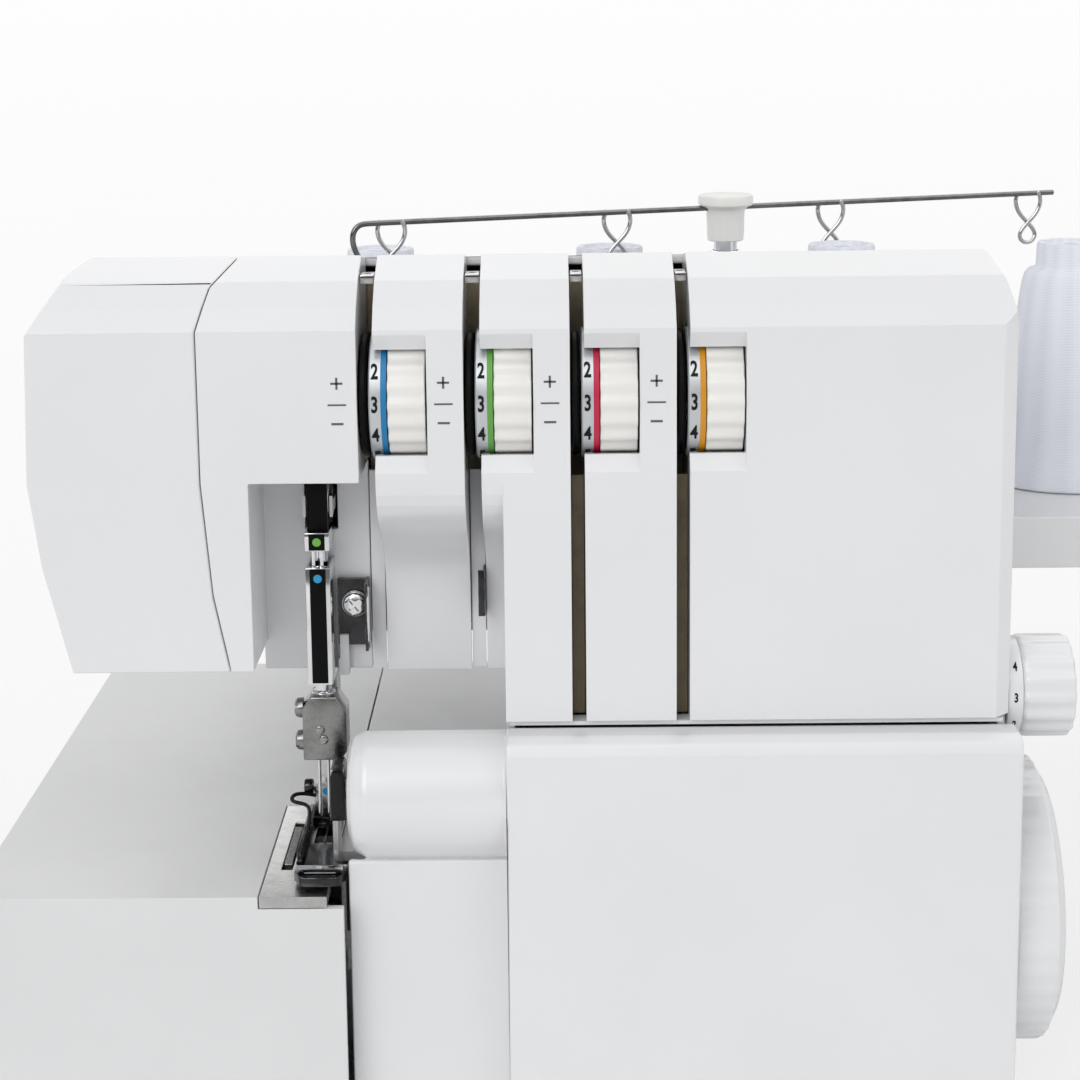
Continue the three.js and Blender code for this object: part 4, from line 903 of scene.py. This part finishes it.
shroud = block(
    (guide_x - 3.0 * MM, bar_front - 2.6 * MM, guide_high.z - 0.6 * MM),
    (guide_x + 3.0 * MM, bar_front - 0.4 * MM, shroud_top), 0.2 * MM,
)
finished(shroud, "needle_bar_shroud", "body", deep_black)
DOT = [(0, 0.08), (1.1, 0.08), (1.25, 0.02), (1.25, -0.05), (0, -0.05)]
needle_dots = [
    ("green", dot_green, (upper_bottom + guide_high.z) / 2), ("blue", dot_blue, lower_top - 3.2 * MM),
]
for name, paint, z in needle_dots:
    spot = turned((guide_x, guide_low.y - proud, z), -Y, DOT, 32)
    finished(spot, f"{name}_needle_dot", "body", paint)

# %% [markdown]
# Screws are modelled once as a turned head with its slot or cross cut out, then placed by their axis.

# %% Screws
def screw(centre, axis, radius, height, drive="slot", turn=0.3):
    """A pan-head screw; centre is under the head and axis points outwards."""
    head = turned(
        centre, axis,
        [(0, 0), (radius, 0), (radius, height * 0.45), (radius * 0.93, height * 0.75),
         (radius * 0.72, height * 0.95), (0, height)], 40,
    )
    cuts = [0.0] if drive == "slot" else [0.0, math.pi / 2]
    length = radius * (2.4 if drive == "slot" else 1.25) * MM
    top = Vector(centre) + axis * height * MM
    for angle in cuts:
        side = (X if axis != X and axis != -X else Y).copy()
        side = Matrix.Rotation(turn + angle, 3, axis) @ side
        half = 0.13 * radius * MM
        tool = block((-length / 2, -half, -0.4 * height * MM), (length / 2, half, MM))
        across = axis.cross(side)
        tool.matrix_world = Matrix.Translation(top) @ Matrix((side, across, axis)).transposed().to_4x4()
        bpy.context.view_layer.update()
        carved(head, tool)
    return head


clamp_low, clamp_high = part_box("needle_clamp")
carrier = body_of("needle_clamp")
clamp_height = (clamp_high.z - clamp_low.z) / MM
clamp_line = [(-6, 0), (5, 0), (7, 2.5), (7, 15), (4, clamp_height), (-3.5, clamp_height), (-6, 16)]
clamp = outline(
    [(guide_x + x * MM, clamp_low.z + z * MM) for x, z in clamp_line],
    1, clamp_low.y + 1.1 * MM, clamp_high.y - clamp_low.y - 1.1 * MM, 0.5 * MM, 3,
)
finished(clamp, "needle_clamp_block", carrier, clamp_steel, ["needle_clamp"])
side_x = clamp_low.x + 3 * MM
mid_y = (clamp_low.y + clamp_high.y) / 2
heads = [
    screw((side_x, clamp_low.y + 5.5 * MM, clamp_high.z - drop * MM), -X, 3.0, 2.6, turn=lean)
    for drop, lean in ((4.5, 0.4), (14.5, -0.5))
]
finished(joined(heads), "clamp_side_screws", carrier, clamp_steel)
front_screws = [
    screw((clamp_low.x + (14.4 - shift) * MM, clamp_low.y + 1.1 * MM, clamp_low.z + rise * MM),
          -Y, 1.35, 0.7, turn=lean)
    for shift, rise, lean in ((6.2, 9.4, 0.9), (5.2, 6.4, 0.2))
]
finished(joined(front_screws), "clamp_front_screws", carrier, screw_steel)
collar = disc((guide_x, clamp_low.y + 6.6 * MM, clamp_high.z - 0.5 * MM), Z, 3.6, 1.0, 0.4, 40)
finished(collar, "needle_bar_collar", carrier, chrome)

# %% [markdown]
# Right of the needle bar a blackened bracket carries the thread past the head. Its cross-head screw sits
# in a slotted hole, so the bracket can be set, and a white hook below it catches the looper thread.

# %% Bracket, hook and clip
bracket_low, bracket_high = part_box("thread_bracket")
screw_at = Vector((bracket_low.x + 5.3 * MM, bracket_high.y - 4.2 * MM, bracket_high.z - 7.5 * MM))
finished(screw(screw_at + Y * 1.0 * MM, -Y, 3.5, 2.4, "cross", 0.7), "bracket_screw", "body", chrome)
washer = disc(screw_at + Y * 1.0 * MM, Y, 4.0, 0.7, 0.2, 40)
finished(washer, "bracket_washer", "body", steel)
loop_x = bracket_high.x + 0.1 * MM
rail = [
    (loop_x, bracket_low.y + 0.8 * MM, bracket_high.z - 1.0 * MM),
    (loop_x, bracket_low.y - 0.2 * MM, bracket_high.z - 4 * MM),
    (loop_x, bracket_low.y - 0.2 * MM, bracket_low.z + 6 * MM),
    (loop_x, bracket_low.y + 0.6 * MM, bracket_low.z + 1 * MM),
    (loop_x, bracket_low.y + 3.0 * MM, bracket_low.z + 0.2 * MM),
]
finished(wire(rail, 0.45 * MM), "bracket_rail", "body", chrome)

hook_x, hook_top, hook_back = guide_high.x + 1.1 * MM, head_low.z + 11.5 * MM, guide_high.y - 0.5 * MM
hook_line = [
    (hook_x, hook_top), (hook_x + 2.8 * MM, hook_top), (hook_x + 2.8 * MM, hook_top - 12.5 * MM),
    (hook_x - 0.6 * MM, hook_top - 12.5 * MM), (hook_x - 0.6 * MM, hook_top - 7.6 * MM),
    (hook_x, hook_top - 7.2 * MM),
]
hook = outline(hook_line, 1, hook_back - 3 * MM, 3 * MM, 0.35 * MM)
finished(hook, "thread_hook", "body", white)

clip_z = head_low.z + 25 * MM
clip_x = slots[1][1]
clip_y = guide_high.y - 3 * MM
clip_half = 7 * MM


def clip_sheet(x0, x1, y0, y1):
    """A sheet of the clip; sizes in millimetres from the slot's right side and the clip's middle."""
    return block(
        (clip_x + x0 * MM, clip_y + y0 * MM, clip_z - clip_half),
        (clip_x + x1 * MM, clip_y + y1 * MM, clip_z + clip_half), 0.2 * MM,
    )


clip = clip_sheet(-0.9, -0.2, -4, 3)
clip_lip = clip_sheet(-2.3, -0.3, -4.6, -3.8)
finished(joined([clip, clip_lip]), "thread_clip", "body", dark_steel)

# %% [markdown]
# ## Presser foot
# The foot is a blackened sole with a bright toe that has a slot across it for tape. A wire spring runs
# down its left side, and the ankle above it is ground steel with a small release lever.

# %% Foot
foot_low, foot_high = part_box("presser_foot")
foot_body = body_of("presser_foot")
foot_x = guide_x
SOLE = 2.8 * MM  # its thickness
sole_top = foot_low.z + SOLE


def on_foot(x, y, z):
    """A place given from the needle line, the foot's rear and the top of its sole, in millimetres."""
    return Vector((foot_x + x * MM, foot_low.y + y * MM, sole_top + z * MM))


sole_line = [
    (-7, 7), (-5, 2.5), (-3.5, 2), (4.5, 2), (6.5, 2.5), (8, 7), (8, 11), (4.4, 14), (3.2, 20),
    (2.6, 61), (-3, 62), (-7, 61),
]
sole = outline(
    [(foot_x + x * MM, foot_low.y + y * MM) for x, y in sole_line], 2, foot_low.z, SOLE, 0.4 * MM
)
needle_slot = block(on_foot(-3.6, 28, -9), on_foot(1.8, 41, 9))
tongue = block(on_foot(-0.9, 27, -2.2), on_foot(-0.3, 42, -0.4), 0.15 * MM)
side_walls = [
    block(on_foot(-7, 14, -1), on_foot(-5.8, 52, 3.4), 0.3 * MM),
    block(on_foot(1.6, 44, -1), on_foot(2.6, 58, 4.4), 0.3 * MM),
]
bridge_line = [(44, 2), (50, 4.4), (58, 4.4), (60, 1), (60, -1), (44, -1)]
bridge = outline(
    [(foot_low.y + y * MM, sole_top + z * MM) for y, z in bridge_line],
    0, foot_x - 5.4 * MM, 7.4 * MM, 0.4 * MM,
)
finished(
    joined([carved(sole, needle_slot), tongue, *side_walls, bridge]),
    "foot_sole", foot_body, dark_steel, ["presser_foot"],
)
toe_line = [(-10, 3.4), (-8, 3.8), (-3, -0.2), (2, -0.2), (2, -0.9), (-4, -0.9), (-9, 2.6)]
toe = outline(
    [(foot_low.y + (y + 10.4) * MM, sole_top + z * MM) for y, z in toe_line],
    0, foot_x - 6 * MM, 13.5 * MM, 0.25 * MM,
)
bpy.ops.object.select_all(action="DESELECT")
bpy.ops.mesh.primitive_cube_add(
    size=1, location=on_foot(0.75, 4.9, 1.6), rotation=(math.radians(-38.7), 0, 0),
    scale=(9 * MM, 1.3 * MM, 4 * MM),
)
finished(carved(toe, bpy.context.object), "foot_toe", foot_body, chrome)

ankle_line = [(-5.4, 0), (2.4, 0), (2.4, 3), (1.2, 5.5), (2.4, 8), (2.4, 11), (-5.4, 11)]
ankle = outline(
    [(foot_x + x * MM, sole_top + z * MM * (foot_high.z - sole_top) / (11 * MM)) for x, z in ankle_line],
    1, foot_low.y + 49 * MM, 11 * MM, 0.4 * MM,
)
finished(ankle, "foot_ankle", foot_body, steel)
lever_points = [
    on_foot(-4.6, 47, 8), on_foot(-9.6, 46, 9.5), on_foot(-12.2, 45, 8.4), on_foot(-11.6, 44.6, 6.8),
    on_foot(-8.4, 44, 6.6), on_foot(-5.6, 42, 6.2), on_foot(-6.0, 34, 2.6), on_foot(-6.4, 22, 0.6),
    on_foot(-6.4, 12, 0.5),
]
finished(wire(lever_points, 0.6 * MM), "foot_spring_wire", foot_body, gloss_black)
pin = disc(on_foot(-8.2, 48.5, 10.4), X, 2.3, 2.8, 0.5, 32)
finished(pin, "foot_release_pin", foot_body, dark_steel)
finished(
    turned(on_foot(-1.6, 48.9, 8.6), -Y, [(0, 0.1), (1.1, 0.1), (1.2, 0.02), (1.2, -0.1), (0, -0.1)], 24),
    "foot_blue_mark", foot_body, dot_blue,
)

# %% [markdown]
# The moving knife hangs on a black holder beside the needles, with its blade reaching the bed.

# %% Knife holder
knife_low, knife_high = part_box("upper_knife")
knife_body = body_of("upper_knife")
holder_line = [(3.3, 16.6), (3.3, 30), (4.4, 32.6), (6.9, 32.6), (7.7, 30), (7.7, 16.6)]
holder = outline(
    [(guide_x + x * MM, bracket_low.z - 62 * MM + z * MM) for x, z in holder_line],
    1, knife_low.y - 0.6 * MM, 11.2 * MM, 0.5 * MM,
)
finished(holder, "knife_holder", knife_body, gloss_black)

# %% [markdown]
# ## Hand controls on the right side
# The handwheel, the stitch-length dial and the feed dial are white mouldings with hollows for the
# fingers. The stitch dial carries its numbers on a plain collar next to the body.

# %% Handwheel
wheel_low, wheel_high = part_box("handwheel")
wheel_axis = axis_along_x(wheel_low, wheel_high)
wheel_radius = (wheel_high.z - wheel_low.z) / 2
rim = fluted(wheel_low.x, wheel_high.x - 3 * MM, wheel_axis, wheel_radius, 40, 0.4 * MM, 1.4 * MM, 4)
R = wheel_radius / MM
width = (wheel_high.x - wheel_low.x) / MM
crown = turned((wheel_low.x, *wheel_axis), X, [
    (0, width - 6), (6, width - 6), (8, width - 5.2), (R * 0.62, width - 2.2), (R * 0.72, width - 0.4),
    (R * 0.80, width), (R * 0.88, width - 0.8), (R * 0.93, width - 3), (R * 0.93, width - 5), (0, width - 7),
], 96)
finished(joined([rim, crown]), "handwheel_rim", body_of("handwheel"), white, ["handwheel"], 35)

# %% Side dials
def side_dial(part, flutes, collar):
    """A fluted dial with a plain numbered collar of this width in millimetres next to the body."""
    low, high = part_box(part)
    centre = axis_along_x(low, high)
    radius = (high.z - low.z) / 2
    grip = fluted(low.x + collar * MM, high.x, centre, radius, flutes, 0.8 * MM, 1.6 * MM)
    ring = disc((low.x, *centre), X, radius / MM - 0.5, collar, 0.3, 96)
    cap = disc((high.x - 0.3 * MM, *centre), X, radius / MM * 0.55, 0.3, 0.1, 64)
    finished(joined([grip, ring, cap]), part + "_grip", body_of(part), white, [part], 35)
    return low.x, centre, radius - 0.5 * MM


def collar_numbers(part, labels, first, step, height, dial):
    x, centre, radius = dial
    digits = [
        numeral(label, height, x + 2.2 * MM, centre, radius, math.radians(first + step * k))
        for k, label in enumerate(labels)
    ]
    finished(joined(digits), part + "_numbers", body_of(part), print_black)


length_dial = side_dial("stitch_length_dial", 16, 4.4)
collar_numbers("stitch_length_dial", ["4", "3", "2", "1"], -38, 36, 2.7 * MM, length_dial)
feed_dial = side_dial("feed_ratio_dial", 12, 3.6)
collar_numbers("feed_ratio_dial", ["2.0", "1.5", "1.0", "0.7"], -60, 40, 2.0 * MM, feed_dial)

# %% [markdown]
# ## Thread stand
# Three chrome tubes slide in one another and carry a white cap. The guide bar through the cap is bent
# from round steel wire: its left end turns down into a hook, and under each cone's thread hangs an eye.

# %% Pole
pole_low, pole_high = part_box("pole_inner")
pole_axis = ((pole_low.x + pole_high.x) / 2, (pole_low.y + pole_high.y) / 2)
for part in ("pole_outer", "pole_middle", "pole_inner"):
    low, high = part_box(part)
    outer, length = (high.x - low.x) / 2 / MM, (high.z - low.z) / MM
    bore = max(outer - 0.8, 0)
    profile = [
        (bore, 0), (outer - 0.3, 0), (outer, 0.3), (outer, length - 3.4), (outer - 0.35, length - 3.0),
        (outer - 0.35, length - 2.4), (outer, length - 2.0), (outer, length - 0.4), (outer - 0.3, length),
        (bore, length),
    ]
    if part == "pole_inner":
        profile = [(0, 0)] + profile[1:-1] + [(0, length)]
    else:
        profile.append((bore, 0))
    tube = turned((*pole_axis, low.z), Z, profile, 48)
    finished(tube, part + "_tube", body_of(part), chrome, [part])

# %% Cap
cap_low, cap_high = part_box("guide_cap")
cap_height = (cap_high.z - cap_low.z) / MM
top_radius = (cap_high.x - cap_low.x) / 2 / MM
cap_profile = [
    (4.5, 0), (6.1, 0), (6.5, 0.4), (6.7, 3.5), (6.85, 10.4), (7.2, 11.5), (8.3, 12.4),
    (top_radius - 0.5, 12.7),
    (top_radius, 13.2), (top_radius, cap_height - 1.0), (top_radius - 0.3, cap_height - 0.4),
    (top_radius - 0.9, cap_height - 0.1), (0, cap_height),
    (0, 9.5), (4.5, 9.5), (4.5, 0),
]
cap = turned((*pole_axis, cap_low.z), Z, cap_profile, 96)
finished(cap, "guide_cap_knob", body_of("guide_cap"), grip_white, ["guide_cap"])

# %% Guide bar
bar_low, bar_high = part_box("guide_bar")
bar_radius = 1.0 * MM
bar_z = bar_high.z - bar_radius
middle = Vector((*pole_axis, bar_z))
slope = math.atan2(bar_high.y - bar_low.y, bar_high.x - bar_low.x)
along = Vector((math.cos(slope), math.sin(slope), 0))
across = Vector((-along.y, along.x, 0))
reach = (bar_high.x - bar_low.x) / 2 / along.x - bar_radius


def on_bar(distance, side, drop):
    """A place along the bar, beside it and below it; side and drop are in millimetres."""
    return middle + along * distance + across * side * MM - Z * drop * MM


hook_drops = [(0, 0), (-2.4, 0.4), (-4.4, 2.6), (-4.8, 6.5), (-3.4, 10.5), (-1.0, 14.0)]
bar_points = [on_bar(distance, 0, 0) for distance in (reach, reach / 2, 0, -reach / 2, -reach + 6 * MM)]
bar_points += [on_bar(-reach + 1.5 * MM + a * MM, 0, drop) for a, drop in hook_drops]
EYE = [
    (-3.4, 1.2, -0.6), (-4.6, 1.3, 1.2), (-4.8, 1.2, 4.0), (-3.2, 1.0, 7.6), (0.0, 0.9, 10.6), (2.9, 0.8, 13.4),
    (3.9, 0.4, 16.0), (2.4, 0.0, 18.2), (0.0, -0.1, 18.8), (-2.4, -0.2, 18.2), (-3.9, -0.5, 16.0),
    (-2.9, -0.8, 13.4),
    (0.0, -0.9, 10.6), (3.2, -1.0, 7.6), (4.8, -1.2, 4.0), (4.6, -1.3, 1.2), (3.4, -1.2, -0.6),
]
cones = [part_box(f"thread_cone_{k}") for k in (1, 2, 3, 4)]
eyes = []
for low, high in cones:
    distance = (low.x + high.x) / 2 - middle.x
    eyes.append(wire([on_bar(distance + a * MM, side, drop) for a, side, drop in EYE], 0.8 * MM, detail=5))
bar_wire = wire(bar_points, bar_radius)
# The bar's very dark steel colour is a painted dark reflection.
finished(bar_wire, "guide_bar_wire", body_of("guide_bar"), wire_dark_reflection, ["guide_bar"], 60)
finished(joined(eyes), "guide_eyes", body_of("guide_bar"), steel_bright, (), 60)

# %% Cones
def cone_profile(high):
    """Plastic foot and collar are bare; the thread between them bulges a little."""
    return [
        (5, 0), (28.6, 0), (29, 0.6), (28.4, 2.4), (26.2, 6.5), (24.0, 11.5), (22.9, 16.5), (22.3, 22),
        (21.4, 34),
        (20.1, 48), (18.6, 62), (17.2, 72), (16.3, 75.6), (15.0, 77.2), (12.9, 77.8), (12.3, 78.6),
        (12.0, 86.2),
        (11.6, high), (9.4, high), (9.0, high - 1.2), (5, high - 1.4), (5, 0),
    ]


for number, (low, high) in enumerate(cones, 1):
    centre = ((low.x + high.x) / 2, (low.y + high.y) / 2, low.z)
    cone = turned(centre, Z, cone_profile((high.z - low.z) / MM), 96)
    winding = wound_thread(f"wound thread {number}", centre)
    finished(cone, f"cone_{number}", "body", winding, [f"thread_cone_{number}"], 40)

# %% [markdown]
# ## Back, inlet and screws
# The covers are held by cross-head screws sunk in their walls, and the mains inlet has two pins.

# %% Cover screws and inlet pins
rear_low, rear_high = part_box("rear_cover")
base_low, base_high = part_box("base_pan")
back_screws = []
for x in (rear_low.x + 30 * MM, (rear_low.x + rear_high.x) / 2, rear_high.x - 22 * MM):
    back_screws.append(screw((x, rear_high.y - 0.1 * MM, rear_low.z + 12 * MM), Y, 3.2, 1.6, "cross", 0.5))
for x in (base_low.x + 24 * MM, base_high.x - 90 * MM, base_high.x - 16 * MM):
    back_screws.append(screw((x, base_high.y - 0.1 * MM, base_low.z + 14 * MM), Y, 3.2, 1.6, "cross", 0.9))
finished(joined(back_screws), "cover_screws", "body", steel)

inlet_low, inlet_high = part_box("inlet_panel")
pin_y = inlet_low.y + 20 * MM
pin_z, PIN_HALF, PIN_SPREAD = (inlet_low.z + inlet_high.z) / 2, 1.1 * MM, 5 * MM
pins = [
    block((inlet_low.x + 1.2 * MM, pin_y + side * PIN_SPREAD - PIN_HALF, pin_z - PIN_HALF),
          (inlet_high.x - 0.8 * MM, pin_y + side * PIN_SPREAD + PIN_HALF, pin_z + PIN_HALF), 0.4 * MM)
    for side in (-1, 1)
]
finished(joined(pins), "inlet_pins", "body", chrome)

# %% [markdown]
# ## Floor and light
# A pale desk runs out of sight behind the machine. One large soft light from the upper left models the
# facets, a weaker one fills from the right, and a bright room does the rest. Glossy parts see that room as
# it would be in a studio: bright overhead and behind, and darker on the side of the camera.

# %% Floor
bpy.ops.object.select_all(action="DESELECT")
bpy.ops.mesh.primitive_plane_add(size=400, location=(0, 0, 0))
floor = bpy.context.object
floor.name = "desk"
desk, desk_tree, desk_main = shader("pale desk", Roughness=0.5, Specular_IOR_Level=0.3)
desk_place = node(desk_tree, "ShaderNodeTexCoord").outputs["Object"]
desk_drift = noise(desk_tree, desk_place, 180, 3)
desk_tone = mixed(desk_tree, desk_drift, (0.90, 0.90, 0.90, 1), (0.88, 0.88, 0.885, 1))
desk_tree.links.new(desk_tone, desk_main.inputs["Base Color"])
glow = node(desk_tree, "ShaderNodeEmission", Color=(1, 1, 1, 1), Strength=1.05)
camera_ray = node(desk_tree, "ShaderNodeLightPath").outputs["Is Camera Ray"]
seen = node(desk_tree, "ShaderNodeMath", [(0, camera_ray)], operation="MULTIPLY")
seen.inputs[1].default_value = 0.55
lit = node(
    desk_tree, "ShaderNodeMixShader", [(0, seen.outputs[0]), (1, desk_main.outputs[0]), (2, glow.outputs[0])]
)
desk_tree.links.new(lit.outputs[0], desk_tree.nodes["Material Output"].inputs["Surface"])
floor.data.materials.append(desk)

# %% Lights
def far_light(name, direction, spread_degrees, strength):
    """A large, distant soft light that shines along a direction."""
    data = bpy.data.lights.new(name, "SUN")
    data.angle, data.energy = math.radians(spread_degrees), strength
    lamp = new_object(name, data)
    lamp.rotation_euler = Vector(direction).to_track_quat("-Z", "Y").to_euler()
    return lamp


far_light("key", (0.6, 1.0, -0.8), 40, 0.95)
far_light("fill", (-1.0, 0.3, -0.7), 60, 0.45)

# %% Room
room = bpy.data.worlds.new("room")
room.use_nodes = True
sky = room.node_tree
plain = sky.nodes["Background"]
plain.inputs["Color"].default_value = (1, 1, 1, 1)
direction = node(sky, "ShaderNodeTexCoord").outputs["Generated"]
heading = node(sky, "ShaderNodeSeparateXYZ", [("Vector", direction)])
sky.links.new(spread(sky, heading.outputs["Z"], 0.82, 0.54, 0.0, 0.8), plain.inputs["Strength"])
overhead = spread(sky, heading.outputs["Z"], 0.15, 1.5, 0.1, 0.8)
behind = spread(sky, heading.outputs["Y"], 0.0, 0.7, 0.0, 0.6)
both = node(sky, "ShaderNodeMath", [(0, overhead), (1, behind)], operation="ADD")
mirrored = node(sky, "ShaderNodeBackground", [("Strength", both.outputs[0])], Color=(1, 1, 1, 1))
path = node(sky, "ShaderNodeLightPath")
blend = node(
    sky, "ShaderNodeMixShader",
    [(0, path.outputs["Is Glossy Ray"]), (1, plain.outputs[0]), (2, mirrored.outputs[0])],
)
sky.links.new(blend.outputs[0], sky.nodes["World Output"].inputs["Surface"])
bpy.context.scene.world = room
bpy.context.scene.view_settings.view_transform = "Standard"

# %% [markdown]
# The last cell brings the scene up to date.

# %% The end
bpy.context.view_layer.update()
